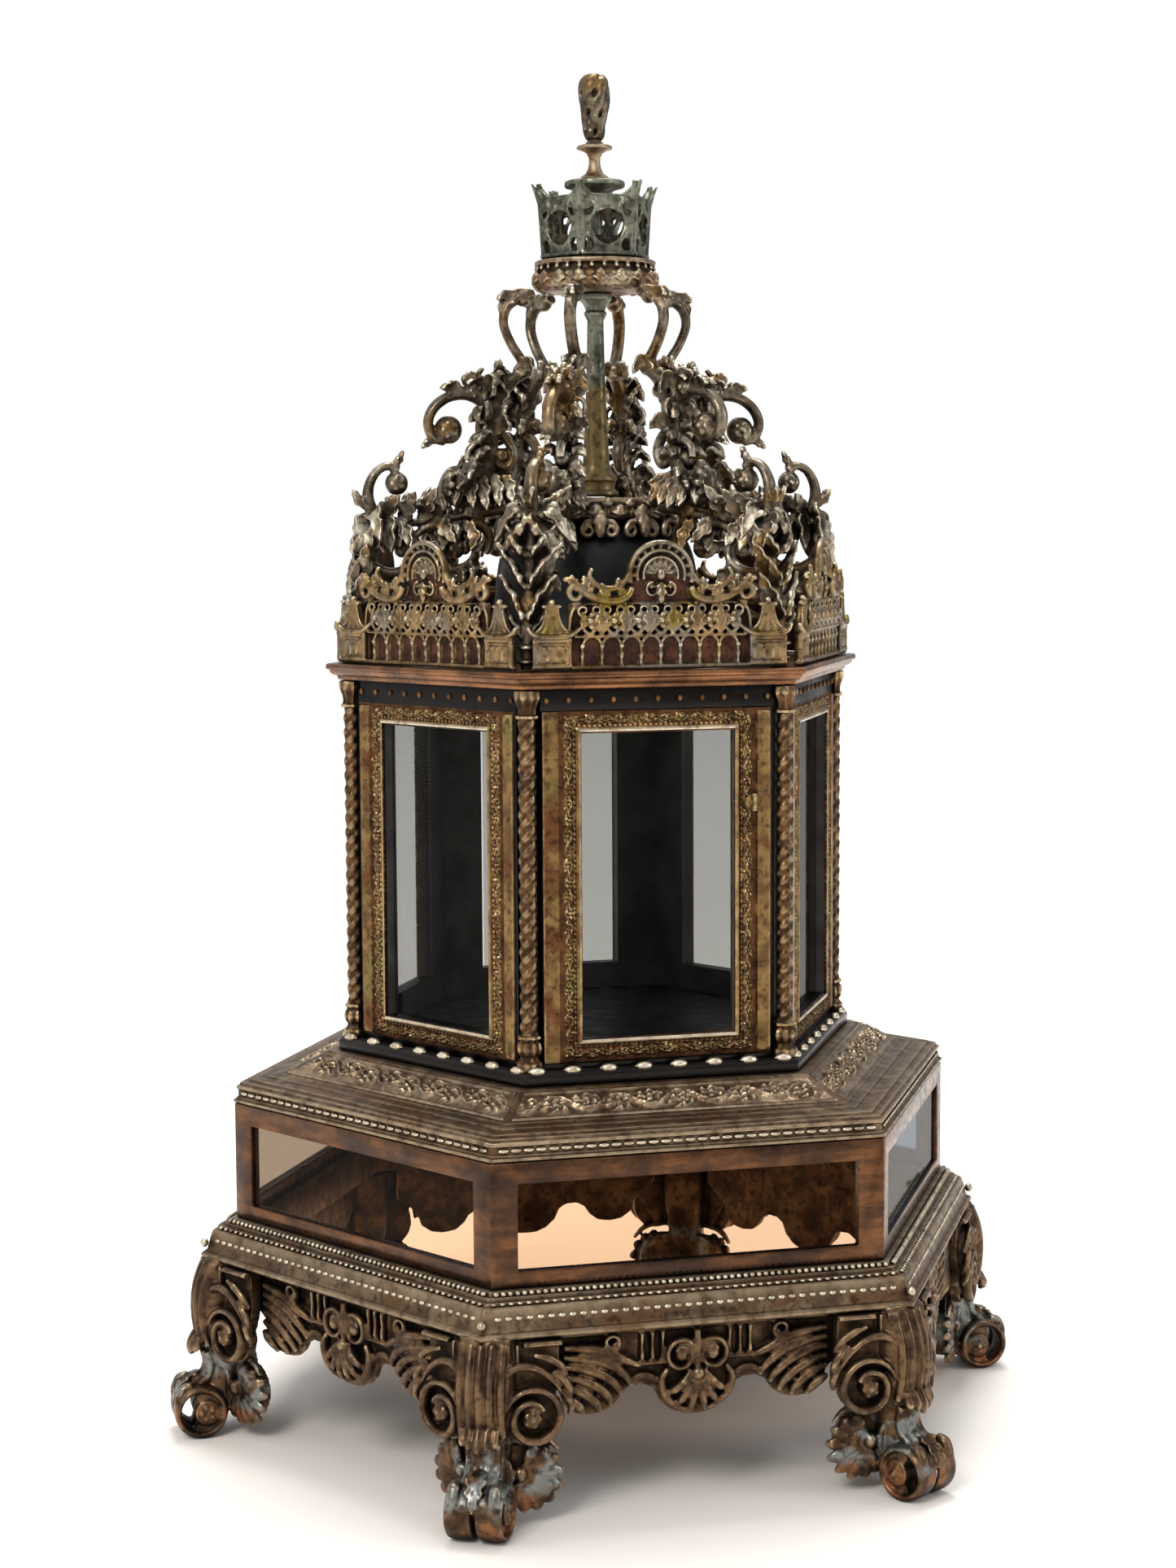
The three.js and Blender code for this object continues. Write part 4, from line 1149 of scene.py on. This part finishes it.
def crest_pavilion(shape, face, way):
    """The little house at each end: a panelled body under a roof with upturned eaves."""
    x = way * 46.5
    body = [(x - 7.6, 1), (x + 7.6, 1), (x + 7.6, 13), (x - 7.6, 13)]
    prism(shape, face, body, -1.6, 1.1)
    for edge in (-7.2, 7.2):
        face.rod(shape, [(x + edge, 1.5), (x + edge, 13)], 0.8, 2, 2.6, power=4)
    for level, thick in ((2.2, 2.0), (12.4, 1.6)):
        face.rod(shape, [(x - 8.2, level), (x + 8.2, level)], 0.9, thick, 2.8, power=4)
    for i in range(3):
        door = spiral((x + (i - 1) * 4, 8.2), [1.5, 1.5], (180, 0), 9)
        door = np.vstack([[(door[0, 0], 4)], door, [(door[-1, 0], 4)]])
        face.rod(shape, door, 1.0, 0.9, 1.8, 6)
    eaves = np.array([(-10.4, 18), (-8.6, 15.4), (-4.5, 14), (4.5, 14), (9, 15.4), (14.5, 19.6)])
    if way > 0:
        eaves = (eaves * (-1, 1))[::-1]
    eaves = spline(eaves + (x, 0), 6)
    face.rod(shape, eaves, 1.2, [1.2, 2.4, 2.6, 2.4, 1.2], [2, 4.2, 4.6, 4.2, 2], 10)
    left = spline([(x - 9, 14.5), (x - 5, 17.5), (x - 3.2, 22), (x - 2.6, 26)], 5)
    roof = np.vstack([left, [(x + 2.6, 26)], (left * (-1, 1) + (2 * x, 0))[::-1][1:]])
    prism(shape, face, roof, -1.4, 1.0)
    for i in np.linspace(-1, 1, 5):
        tile = spline([(x + i * 8, 15), (x + i * 4.6, 18), (x + i * 3, 22), (x + i * 2.4, 25.6)], 4)
        face.rod(shape, tile, 1.1, [1.3, 0.9], [1.6, 1.2], 6)
    face.rod(shape, [(x - 4, 26.4), (x + 4, 26.4)], 0.4, 1.6, 2.8)
    ball(shape, face.at((x, 28), 0.3), (1.5, 1.9, 1.5), rows=5, columns=8)


def crest_arch(shape, face):
    """The arched pediment: a pale rim over nested bands, with a jewel and a scroll in the middle."""
    z = ARCH_HEIGHT
    foot = [(-13.6, 29), (-9, 27), (9, 27), (13.6, 29)]
    back = np.vstack([spiral((0, z), [13.6, 13.6], (0, 180), 26), foot])
    prism(shape, face, back, -1.4, -0.2)
    for radius, width, depth, lift in ((13.4, 2.4, 4, 0.3), (10.2, 1.8, 2.8, 0.4), (7.4, 1.4, 2.2, 0.3)):
        band = spiral((0, z), [radius, radius], (-14, 194), 34)
        face.rod(shape, band, lift, width, depth, 10)
    for angle in np.linspace(0, 180, 11):
        spot = spiral((0, z), [11.8, 11.8], (angle, angle), 1)[0]
        ball(shape, face.at(spot, 0.3), (0.9, 1.0, 0.9), rows=5, columns=8)
    for angle in np.linspace(15, 165, 7):
        ray = spiral((0, z), [2.2, 6.6], (angle, angle), 4)
        face.rod(shape, ray, 0.1, [0.7, 1.7, 1.9, 0.6], [1.2, 1.8, 1.6, 0.8], 6)
    ball(shape, face.at((0, z + 0.5), 0.8), (2.0, 1.8, 2.6))
    for way in (-1, 1):
        curl = spiral((way * 3.4, z - 6), [3.2, 1.0], (90, 90 - way * 430), 26)
        face.rod(shape, curl, 0.6, [1.6, 1.0], [2.4, 2])
    drop = face.at([(0, z - 3), (0, z - 7), (0, z - 12)], np.array([0.8, 1.4, 0.6]))
    leaf(shape, drop, (1, 0, 0), 5.4, lobes=3, thick=1.6)


def crest_shoulder(shape, face, way):
    """The long scroll from the arch's foot, sagging and then curling up over the flowers."""
    line = spline([(12.6, 34), (14.6, 30.6), (19, 28.6), (26, 29), (32, 31.6), (36, 35.2)], 6)
    curl = spiral((36.4, 31.8), [3.5, 1.2], (95, 95 - 400), 22)
    path = np.vstack([line, curl]) * (way, 1)
    face.rod(shape, path, 1.2, [3.2, 3.8, 3.4, 2.6, 1.6], [4.4, 5.2, 4.8, 3.6, 2.6], 10)
    drape = spline([(14, 39), (16.4, 35.4), (21, 33.4), (26.6, 34.4), (30.4, 38.4), (29.4, 42)], 5) * (way, 1)
    face.rod(shape, drape, 0.6, [2, 3, 3, 2.6, 1.6], [3.4, 4, 4, 3.4, 2.2], 10)
    tip = [(35.5, 35), (38.5, 37.2), (42, 37.4)]
    leaf(shape, face.at(np.array(tip) * (way, 1), np.array([0.4, 1, 0.2])),
         np.cross(face.out, (way, 0, 0.3)), 4.6, 3)
    for start, end in (((22, 29), (25, 36)), ((16, 31), (18, 38)), ((29, 31), (33, 39))):
        middle = np.add(start, end) / 2 + (1.3, 0)
        spine = face.at(np.array([start, middle, end]) * (way, 1), np.array([0.2, 1.2, 0.2]))
        leaf(shape, spine, np.cross(face.out, spine[-1] - spine[0]), 5, lobes=3, thick=1.4)
    brace = spline([(34, 30), (36.5, 26.5), (38.5, 22), (39, 15)], 5) * (way, 1)
    face.rod(shape, brace, -0.1, [1.8, 1.6], [2.6, 2.4])
    tie = spline([(25, 29), (25.4, 24), (24.6, 18), (25.2, 14)], 4) * (way, 1)
    face.rod(shape, tie, -0.3, 1.3, 2, 6)


def carved_cresting():
    """The front strip of the cresting, with a plate behind its arcade and flowers that carries painted shade.
    """
    face = face_plane(CRESTING["radius"], CRESTING["base"])
    shape = Shape()
    # A dark sheet of painted shade behind the arcade and flowers.
    prism(shape, face, [(-39, 0.6), (39, 0.6), (39, 27.6), (-39, 27.6)], -1.7, -0.8)
    crest_arcade(shape, face)
    crest_flowers(shape, face)
    crest_arch(shape, face)
    for way in (-1, 1):
        crest_pavilion(shape, face, way)
        crest_shoulder(shape, face, way)
    face.rod(shape, [(-38, 27.4), (38, 27.4)], -0.2, 1.2, 2)
    return shape


def is_crest_shade(spot, normal):
    """Whether a face is on the plates behind the arcade, the flowers and the arch, which take the painted
    shade.
    """
    x, z = abs(spot[0]), spot[2] - CRESTING["base"]
    lift = -spot[1] - apothem(CRESTING["radius"])
    low = z < 27.4 and x < 38.8 and lift < -0.45
    high = z > 27.4 and x < 13 and lift < 0
    return low or high


# The strokes of a rib in (radius, height), with their widths. Each volute ends in a ball.
RIB_STROKES = (
    ([(109, 341.6), (108.6, 356), (106.8, 370), (104, 386), (101.6, 399), (103, 407)],
     [8, 6.4, 5.6, 5.4, 7, 6]),
    ([(102, 404), (93, 402.6), (84, 402.2), (72, 403.4), (56, 406), (41.8, 408)], [7, 5, 3.6, 3.4, 4, 4.6]),
    ([(95, 402.4), (101, 406.4), (103.4, 412), (103, 418.6), (99.6, 424.6), (94.6, 427), (90, 425)],
     [4.4, 6.4, 5.4, 4.6, 4, 3.8, 4.4]),
    ([(57, 404), (54, 415), (49.8, 428), (47.8, 440), (46.6, 450), (43, 459), (38, 465), (31.5, 468.6)],
     [11, 9, 7, 6.4, 6.4, 6.6, 6, 4.4]),
    ([(45, 448), (51.6, 455), (59, 458.2), (67, 457.2), (73.6, 452.6), (76.4, 446), (74.4, 439.6),
      (69, 437.4)],
     [5, 6, 5, 4.8, 4.8, 4.6, 4.2, 3.6]),
    ([(31, 467.6), (34, 473.6), (38.8, 481), (42, 489.5), (40.4, 496.4), (35, 500.6), (28, 502.4)],
     [5, 4.4, 4.2, 4.2, 4.4, 5, 4.6]),
    ([(48, 438.6), (53, 437.4), (58, 434.2), (58.6, 429.6)], [4.6, 4, 3.4, 3]),
    ([(56, 411), (63, 411), (68.4, 414.6), (69, 420.6), (65, 424)], [5, 5, 4.4, 3.8, 3]),
    ([(84, 395), (78.6, 399.6), (72, 400.6), (66.4, 397.6), (65, 392)], [2.6, 4, 4.4, 4, 3.4]),
    ([(58, 403), (52, 400), (49, 394.6), (50.6, 388)], [4.6, 4.4, 3.8, 2.2]),
    ([(104, 384), (95, 380.2), (86, 382), (80.6, 387), (81.6, 393.4), (86.4, 394.4)],
     [5.4, 5, 4.6, 4, 3.4, 3]),
    ([(107.4, 366), (99, 361), (90.5, 363.4), (88, 370.5), (92.4, 375.6), (97.6, 372.6)],
     [5.4, 4.8, 4.2, 3.8, 3, 2.4]),
    ([(50, 442), (42.5, 440), (38, 433), (40.6, 426.5), (46, 428)], [5.4, 4.6, 4, 3.4, 2.8]),
    ([(43, 459), (50, 462), (54, 466), (51.5, 470)], [4.4, 4, 3, 2]),
)
RIB_BALLS = (
    (90.8, 419.4, 5.2), (67.4, 442.8, 6.3), (54.4, 429.2, 4.0), (65, 390.6, 4.6), (55.4, 459.8, 4.8),
    (33, 500.6, 3.8), (88.6, 390.6, 3.8), (94.6, 369.6, 3.8), (43.4, 431.6, 3.4), (64.4, 420.6, 4.2),
    (84.6, 397.4, 2.0), (32, 469.2, 3.6), (101.6, 402.6, 4.6),
)
# Leaves on a rib: root, middle and tip in (radius, height), the width, and how far the tip stands aside.
RIB_LEAVES = (
    ((92, 427), (89.5, 430), (87.6, 434), 4, 0.6), ((73, 439), (77, 437), (79.6, 434.6), 4, 0.6),
    ((103, 409), (107.6, 412), (110, 417), 5, 3), ((100, 404), (106.6, 402.6), (109, 396.5), 8, 4),
    ((102, 403), (105, 400), (106.4, 387), 11, 12), ((99, 404), (97, 401), (95, 389), 11, 10),
    ((101, 404), (103, 407), (101, 394), 9, 16), ((96, 403), (93, 399), (90, 391), 8, 5),
    ((80, 402), (79, 407.5), (82, 411), 6, 4), ((72, 404), (74.5, 409), (79, 410.5), 6, 6),
    ((66, 414), (64.6, 419), (66, 409), 8, 6), ((62, 424), (63.4, 418), (64, 409.6), 8, 5),
    ((58, 424), (58.6, 417), (58, 408), 8, 8), ((53, 423), (53, 416), (52, 407), 8, 9),
    ((48, 424), (46.8, 417), (46, 408.6), 8, 8), ((43, 423), (41, 418), (39.6, 410), 8, 6),
    ((54, 414), (60, 418), (66, 417), 9, 11), ((53, 420), (57, 425), (61, 421), 9, 12),
    ((50, 427), (53, 433), (57, 430), 8, 11), ((48.6, 434), (52, 440), (56, 437.4), 8, 10),
    ((48, 441), (43.6, 446), (41, 442), 8, 8), ((47.4, 446), (52.6, 450), (56, 446.4), 8, 9),
    ((47, 452), (44, 459), (46.4, 464), 8, 8), ((50, 455), (54.4, 463.4), (60, 463), 8, 5),
    ((56, 459), (58, 465), (55, 468.4), 7, 5), ((54, 458), (49.5, 463.6), (49, 457), 8, 10),
    ((60, 457), (65, 461.6), (70.6, 461), 7, 3), ((43, 460), (46, 466), (48, 461), 7, 9),
    ((39, 465), (44, 469), (44.6, 474), 6, 3), ((37, 466), (32, 472), (30, 466), 7, 7),
    ((107, 360), (111, 364), (112, 371), 7, 5), ((106.5, 374), (110, 379), (109.6, 386), 7, 7),
    ((104, 388), (108.5, 391), (109, 397), 7, 8), ((85, 383), (79.5, 379), (78, 372.5), 7, 5),
    ((81, 392), (75, 391), (71, 386), 7, 5), ((72, 400), (70.6, 394), (73, 388.6), 6, 5),
    ((60, 403), (57, 396), (59, 389.4), 7, 7), ((99, 362), (96, 356.6), (98, 351), 7, 5),
    ((92, 376), (86.6, 377), (83.4, 374), 6, 5), ((43, 493), (39.4, 501), (30, 504.4), 7, 2.5),
    ((36, 500), (41, 502), (45, 499.6), 5, 2), ((107, 350), (109.6, 358), (110, 366), 8, 9),
    ((106, 362), (109, 371), (108.4, 381), 9, 12), ((105, 374), (107, 384), (106.6, 394), 9, 14),
    ((103.6, 384), (104, 395), (100, 404), 10, 14), ((97, 402.6), (95, 409), (91, 414.6), 8, 9),
    ((88, 402.4), (86.6, 409), (84, 416), 8, 8), ((78, 403), (78, 410), (74, 418), 8, 9),
    ((70, 404), (70, 399), (66, 393), 8, 9), ((91, 402), (88, 398), (86, 391), 8, 9),
)


def carved_rib():
    """A pierced rib in the plane through a corner: scrolls, rosette balls and leaves on both sides."""
    shape = Shape()
    for points, widths in RIB_STROKES:
        line = spline(points, 6)
        depth = np.minimum(spread(widths, 9) * 1.3, RIB_DEPTH)
        sweep(shape, RADIAL.at(line), widths, depth, sides=10)
    for r, z, radius in RIB_BALLS:
        ball(shape, (r, 0, z), (radius, 0.85 * radius, radius), rows=9, columns=14)
        for side in (-1, 1):
            spot = Plane((0, -side * 0.62 * radius, 0), (1, 0, 0))
            flower(shape, spot, (r, z), radius * 0.45, 0, petals=5)
    for root, middle, tip, width, aside in RIB_LEAVES:
        for side in (-1, 1):
            spine = RADIAL.at([root, middle, tip], side * np.array([0.8, 0.55 * aside, aside]))
            way = np.cross(np.subtract(spine[-1], spine[0]), (0.5, -side, 0))
            leaf(shape, spine, way, width, lobes=3, thick=2.0, cup=0.2)
    facing = Plane((66, 0, 0), (0, 1, 0))
    shell(shape, facing, (0, 418.6), [6.4, 7, 6.4], range(0, 360, 45), 4.6, lift=0)
    ball(shape, (66.4, 0, 418.6), (3, 2.6, 2.6))
    for side in (-1, 1):
        hook = spiral((side * 5, 452), [4.8, 4.6, 1.6], (90, 90 + side * 460), 30)
        sweep(shape, Plane((51, 0, 0), (0, 1, 0)).at(hook), [2.6, 2.4, 1.8], 4, (1, 0, 0), sides=8)
    for height in (345, 351):
        ball(shape, (109, 0, height), (5.4, 4.8, 1.8), rows=7, columns=16)
    return shape


def make_dome():
    """The dark dome that stands inside the cresting."""
    outer = spline([(56, 341.4), (52.6, 346), (50, 352), (47.6, 360), (46, 368), (45.2, 376), (44, 384),
                    (42.2, 390), (39.4, 395.4), (35, 399.4), (28.4, 402)], 4)
    inner = [(28, 400.4), (38.4, 394.4), (42.2, 384), (44.2, 368), (48.2, 352), (54.4, 341.4)]
    shape = Shape()
    revolve(shape, np.vstack([outer, [(0.4, 402.1), (0.4, 400.4)], inner]), 96, ring=True)
    made = machined(shape, 0.1, 50)
    keep(made, "inner_dome_fine", "dark_lining", [DOME_PAINT], ["inner_dome"])


def leaf_ring(shape, radius, low, high, count, width, lean, start=0.0, lobes=3):
    """Upright leaves round a rim, leaning out by lean at their tips."""
    for angle in start + TAU * np.arange(count) / count:
        bend = (radius + 0.55 * lean, 0, low + 0.55 * (high - low))
        spine = np.array([(radius, 0, low), bend, (radius + lean, 0, high)])
        whole = Shape()
        leaf(whole, spine, (0, -1, 0), width, lobes=lobes, thick=1.4, cup=0.25)
        shape.take(whole, lambda points, angle=angle: turned(points, angle))


def ring_of_beads(shape, radius, height, count, size):
    """Beads all round a circle."""
    for angle in TAU * np.arange(count) / count:
        ball(shape, (radius * math.cos(angle), radius * math.sin(angle), height), size, rows=5, columns=8)


def collar_curl(shape, angle):
    """A pair of curls and a blunt leaf hanging from the platform's edge over the dome."""
    across = np.array([-math.sin(angle), math.cos(angle), 0])
    edge = Plane(43 * np.cross(across, (0, 0, 1)), across)
    for way in (-1, 1):
        stem = spline([(0, 405), (way * 2, 402.6), (way * 5.6, 402), (way * 7.6, 399.4)], 4)
        curl = spiral((way * 5, 398.6), [2.9, 0.8], (0 if way > 0 else 180, -380 if way > 0 else 560), 22)
        edge.rod(shape, np.vstack([stem, curl[2:]]), -1, [2.8, 2.6, 2.2, 1.4], 3)
    droop = turned(np.array([(36.5, 0, 405), (41.6, 0, 404), (45, 0, 400), (45.6, 0, 395)]), angle)
    leaf(shape, droop, across, 7, lobes=3, thick=2, teeth=0.25, blunt=2)


def make_platform():
    """The round platform on the dome, with leaves and hanging curls round its edge."""
    shape = Shape()
    revolve(shape, [(0.1, 401.8), (34, 401.8), (38.6, 403.4), (39.4, 405), (39, 406.6), (37.6, 408),
                    (37, 410), (37.6, 411.2), (36.4, 412.7), (0.1, 412.7)], 72)
    leaf_ring(shape, 38.2, 402.8, 409.8, 24, 9.5, 2.2)
    leaf_ring(shape, 37, 408, 412.6, 24, 6, 2.4, start=math.pi / 24)
    for angle in TAU * np.arange(14) / 14:
        collar_curl(shape, angle)
    ring_of_beads(shape, 33.2, 412.2, 36, (1.5, 1.5, 0.8))
    keep(cast(shape, 0.55, 0.35), "carved_platform", "pale_brass", [PALE], ["platform"])


def make_centre_column():
    """The slender column between the platform and the crown."""
    shape = Shape()
    profile = [(0.1, 413.4), (9.8, 413.4), (10, 414), (9.8, 415.4), (8.6, 416.2), (8.2, 417.6),
               (8.4, 419.6), (9.2, 420.6), (9.2, 421.8), (8.2, 423), (6.8, 425), (6.0, 428), (5.6, 434),
               (5.0, 446), (4.4, 460), (3.9, 476), (3.6, 491), (4.6, 493), (5.2, 494.4), (4.2, 495.6),
               (5.2, 498), (7.2, 500.4), (7.5, 502.8), (0.1, 502.8)]
    revolve(shape, profile, 48)
    keep(machined(shape, 0.12, 25), "centre_column_fine", "dark_bronze", [VERDIGRIS], ["centre_column"])


def make_crown_ring():
    """The leafy ring that the ribs' arms hold up."""
    shape = Shape()
    revolve(shape, [(0.1, 503.4), (20.6, 503.4), (24.6, 505), (26.4, 508), (25.8, 511), (24.2, 513),
                    (24.4, 514.6), (26.8, 515.2), (27, 516.6), (26.4, 517.2), (0.1, 517.2)], 72)
    leaf_ring(shape, 24.6, 504, 512.4, 18, 8.4, 2.6, lobes=3)
    leaf_ring(shape, 22.6, 503.6, 508.6, 18, 6.4, 4.2, start=math.pi / 18)
    ring_of_beads(shape, 26.2, 513.6, 30, (1.1, 1.1, 1.0))
    keep(cast(shape, 0.5, 0.5), "carved_crown_ring", "pale_brass", [PALE], ["crown_ring"])


# The openings in half of a crown panel: x, height, half width and half height.
CROWN_HOLES = ((3.9, 14, 3.2, 4.8), (8.8, 20.6, 1.9, 2.8), (8.8, 4.8, 2.0, 2.8))


def crown_panel():
    """One side of the crown: a plate with three pairs of openings, and two pointed corners."""
    lean = 0.06
    face = Plane((0, -19.7, 517.8), (1, 0, 0), (0, -math.sin(lean), math.cos(lean)))
    x, z = np.meshgrid(np.arange(-14.6, 14.61, 0.4), np.arange(0, 33.2, 0.4))
    away = np.abs(x)
    top = 27 + 6 * np.clip((away - 6.5) / 7, 0, None) ** 1.2
    inside = (away < 11.3 + 3.1 * (z / 33) ** 3) & (z < top)
    disc = np.hypot(x / 6.6, (z - 12.8) / 7.4)
    height = 1.1 + 0.2 * bump(disc - 1.08, 0.14) - 0.9 * (disc < 1) + 0.7 * bump(x, 1.3) * (disc < 1)
    height += 0.6 * np.clip(np.cos(0.9 * x), 0, 1) * (z > 22) * (z < 26)
    height += 0.5 * bump(z - 7.4 - 0.06 * x**2, 0.9)
    for hole_x, hole_z, half_x, half_z in CROWN_HOLES:
        ring = np.hypot((away - hole_x) / half_x, (z - hole_z) / half_z)
        inside &= ring > 1
        height += 0.7 * bump(ring - 1.5, 0.4)
    shape = Shape()
    keep_cells = inside[:-1, :-1] & inside[1:, 1:] & inside[:-1, 1:] & inside[1:, :-1]
    slab(shape, face.at(np.stack([x, z], -1)), face.out, height, -1.0, keep_cells)
    face.rod(shape, [(-11.6, 1.2), (11.6, 1.2)], 0.8, 2.4, 3, 10, power=3)
    for way in (-1, 1):
        post = spline([(11, 1), (11, 9), (11.2, 17), (11.8, 24)], 4) * (way, 1)
        face.rod(shape, post, 0.6, 2.2, 2.8)
        point = spline([(9.4, 20), (11.4, 24.6), (13.2, 29), (14.8, 33)], 5) * (way, 1)
        rise = spread([0.4, 0.8, 1.6, 3.0], len(point))
        face.rod(shape, point, rise, [6, 5, 3, 0.7], [2, 2, 1.6, 0.8], 10)
    return shape


def is_crown_disc(spot, normal):
    """Whether a face is on the sunk disc in the middle of one of the crown's sides."""
    turn = round((math.atan2(spot[1], spot[0]) + math.pi / 2) / SECTOR) * SECTOR
    return math.hypot(turned(spot, -turn)[0] / 6.8, (spot[2] - 530.6) / 7.6) < 1


def make_crown():
    """The pierced crown and the turned cap inside it."""
    made = painted(cast(all_faces(crown_panel()), 0.4, 0.4), is_crown_disc)
    keep(made, "pierced_crown", "dark_bronze", [VERDIGRIS, SHADOW_BRONZE], ["crown"])
    cap = Shape()
    revolve(cap, [(0.1, 518), (6.8, 518), (6.2, 519.4), (4.2, 521.4), (3.6, 525), (3.4, 536), (3.8, 544),
                  (6, 547), (10, 548.6), (13, 549.4), (13.5, 550.2), (13.3, 551.8), (12.2, 552.4),
                  (8, 552.5), (0.1, 552.6)], 56)
    keep(machined(cap, 0.12, 25), "crown_cap_fine", "dark_bronze", [VERDIGRIS], ["crown_cap"])


def twisted_bud(angle, z):
    """Five twisted ridges, with deep pits one above another in the grooves between them."""
    twist = 2.5 * (angle - 0.07 * (z - 571))
    ridge = np.abs(np.cos(twist))
    pit = bump(ridge, 0.5) * np.clip(np.sin(TAU * (z - 571) / 8.4), 0, 1)
    fade = np.clip((z - 570.5) / 3, 0, 1) * np.clip((599 - z) / 3, 0, 1)
    return fade * (1.3 * (ridge**0.7 - 0.75) - 2.4 * pit)


def make_finial():
    """The turned stem and the twisted bud on top."""
    stem = [(0.1, 552.9), (6.9, 552.9), (7, 553.4), (5.6, 554.4), (4, 555.6), (3, 557.6), (2.5, 560),
            (2.6, 562.4), (3.6, 564.4), (5.8, 565.6), (7.8, 566.2), (8, 566.9), (7.4, 567.6), (4.4, 568.4),
            (3.2, 569.6), (2.9, 571)]
    shape = Shape()
    revolve(shape, stem + [(0.1, 571.4)], 48)
    bud = Shape()
    outline = spline([(0.1, 570), (3.4, 570.2), (4.6, 572.6), (5, 576), (5.8, 581), (6.6, 586), (6.9, 591),
                      (6.3, 595.4), (4, 598.4), (0.1, 599)], 8)
    revolve(bud, outline, 90, twisted_bud)
    keep(machined(shape, 0.1, 25), "finial_stem", "dark_bronze", [PALE], ["finial"])
    keep(cast(bud, 0.36, 0.8), "finial_bud", "dark_bronze", [BRONZE])


def make_roof():
    """Everything that stands on the roof plate."""
    cresting = painted(cast(carved_cresting(), 0.42, 0.32, 1), is_crest_shade)
    around(cresting, "carved_cresting", FACES, "gilt_brass", [CREST, CREST_SHADE], "cresting")
    around(cast(carved_rib(), 0.5, 0.3), "carved_rib", CORNERS, "dark_bronze", [BRONZE], "rib")
    make_dome()
    make_platform()
    make_centre_column()
    make_crown_ring()
    make_crown()
    make_finial()


# ---------------------------------------------------------------- camera, floor and light
def make_camera():
    """The camera, a little above the middle of the case and to the left of its front."""
    data = bpy.data.cameras.new("camera")
    data.sensor_width = 36
    data.lens = CAMERA["lens"]
    camera = bpy.data.objects.new("camera", data)
    bpy.context.scene.collection.objects.link(camera)
    turn = Vector(CAMERA["forward"]).to_track_quat("-Z", "Y")
    roll = Matrix.Rotation(math.radians(CAMERA["roll"]), 4, "Z")
    camera.matrix_world = Matrix.Translation(CAMERA["place"]) @ turn.to_matrix().to_4x4() @ roll
    bpy.context.scene.camera = camera


def area_light(name, place, height, size, watts, colour):
    """A rectangular light aimed at the case's axis."""
    data = bpy.data.lights.new(name, "AREA")
    data.shape = "RECTANGLE"
    data.size, data.size_y = size
    data.energy = watts
    data.color = colour
    lamp = bpy.data.objects.new(name, data)
    bpy.context.scene.collection.objects.link(lamp)
    lamp.location = place
    lamp.rotation_euler = (Vector((0, 0, height)) - Vector(place)).to_track_quat("-Z", "Y").to_euler()


def make_sky():
    """A white backdrop. Everything else gets softer light, brighter from above and from the left."""
    world = bpy.data.worlds.new("studio")
    world.use_nodes = True
    make, link = world.node_tree.nodes.new, world.node_tree.links.new
    backdrop = world.node_tree.nodes["Background"]
    backdrop.inputs["Color"].default_value = (1, 1, 1, 1)
    backdrop.inputs["Strength"].default_value = 1.05
    tilt = make("ShaderNodeVectorMath")
    tilt.operation = "DOT_PRODUCT"
    tilt.inputs[1].default_value = (-0.45, 0.1, 0.85)
    link(make("ShaderNodeTexCoord").outputs["Generated"], tilt.inputs[0])
    ramp = make("ShaderNodeMapRange")
    for key, value in (("From Min", -0.5), ("From Max", 0.8), ("To Min", 0.22), ("To Max", 1.15)):
        ramp.inputs[key].default_value = value
    link(tilt.outputs["Value"], ramp.inputs["Value"])
    soft = make("ShaderNodeBackground")
    link(ramp.outputs["Result"], soft.inputs["Strength"])
    choice = make("ShaderNodeMixShader")
    link(make("ShaderNodeLightPath").outputs["Is Camera Ray"], choice.inputs["Fac"])
    link(soft.outputs["Background"], choice.inputs[1])
    link(backdrop.outputs["Background"], choice.inputs[2])
    link(choice.outputs["Shader"], world.node_tree.nodes["World Output"].inputs["Surface"])
    bpy.context.scene.world = world


def make_floor():
    """A pale floor that glows softly far off, so that it runs into the backdrop."""
    disc = Shape()
    angle = TAU * np.arange(96) / 96
    disc.add(np.stack([6000 * np.cos(angle), 6000 * np.sin(angle), 0 * angle], -1), [list(range(96))])
    ground = linked("studio_floor", disc.mesh("studio_floor"))
    n = Nodes("floor_pale")
    n.shader.inputs["Base Color"].default_value = (0.92, 0.87, 0.82, 1)
    n.shader.inputs["Roughness"].default_value = 0.6
    far = n.new("ShaderNodeVectorMath", operation="LENGTH")
    n.link(n.place, far.inputs[0])
    n.shader.inputs["Emission Color"].default_value = (1, 1, 1, 1)
    n.link(n.span(far.outputs["Value"], 0.6, 3.0, 0, 0.38), n.shader.inputs["Emission Strength"])
    ground.data.materials.append(n.material)


def make_studio():
    """The backdrop, the lights and the floor."""
    make_sky()
    bpy.context.scene.view_settings.view_transform = "Standard"
    for light in LIGHTS:
        area_light(*light)
    make_floor()


make_camera()
make_studio()
make_stand()
make_plinth()
make_lantern_floor()
make_lantern()
make_latch()
make_roof()
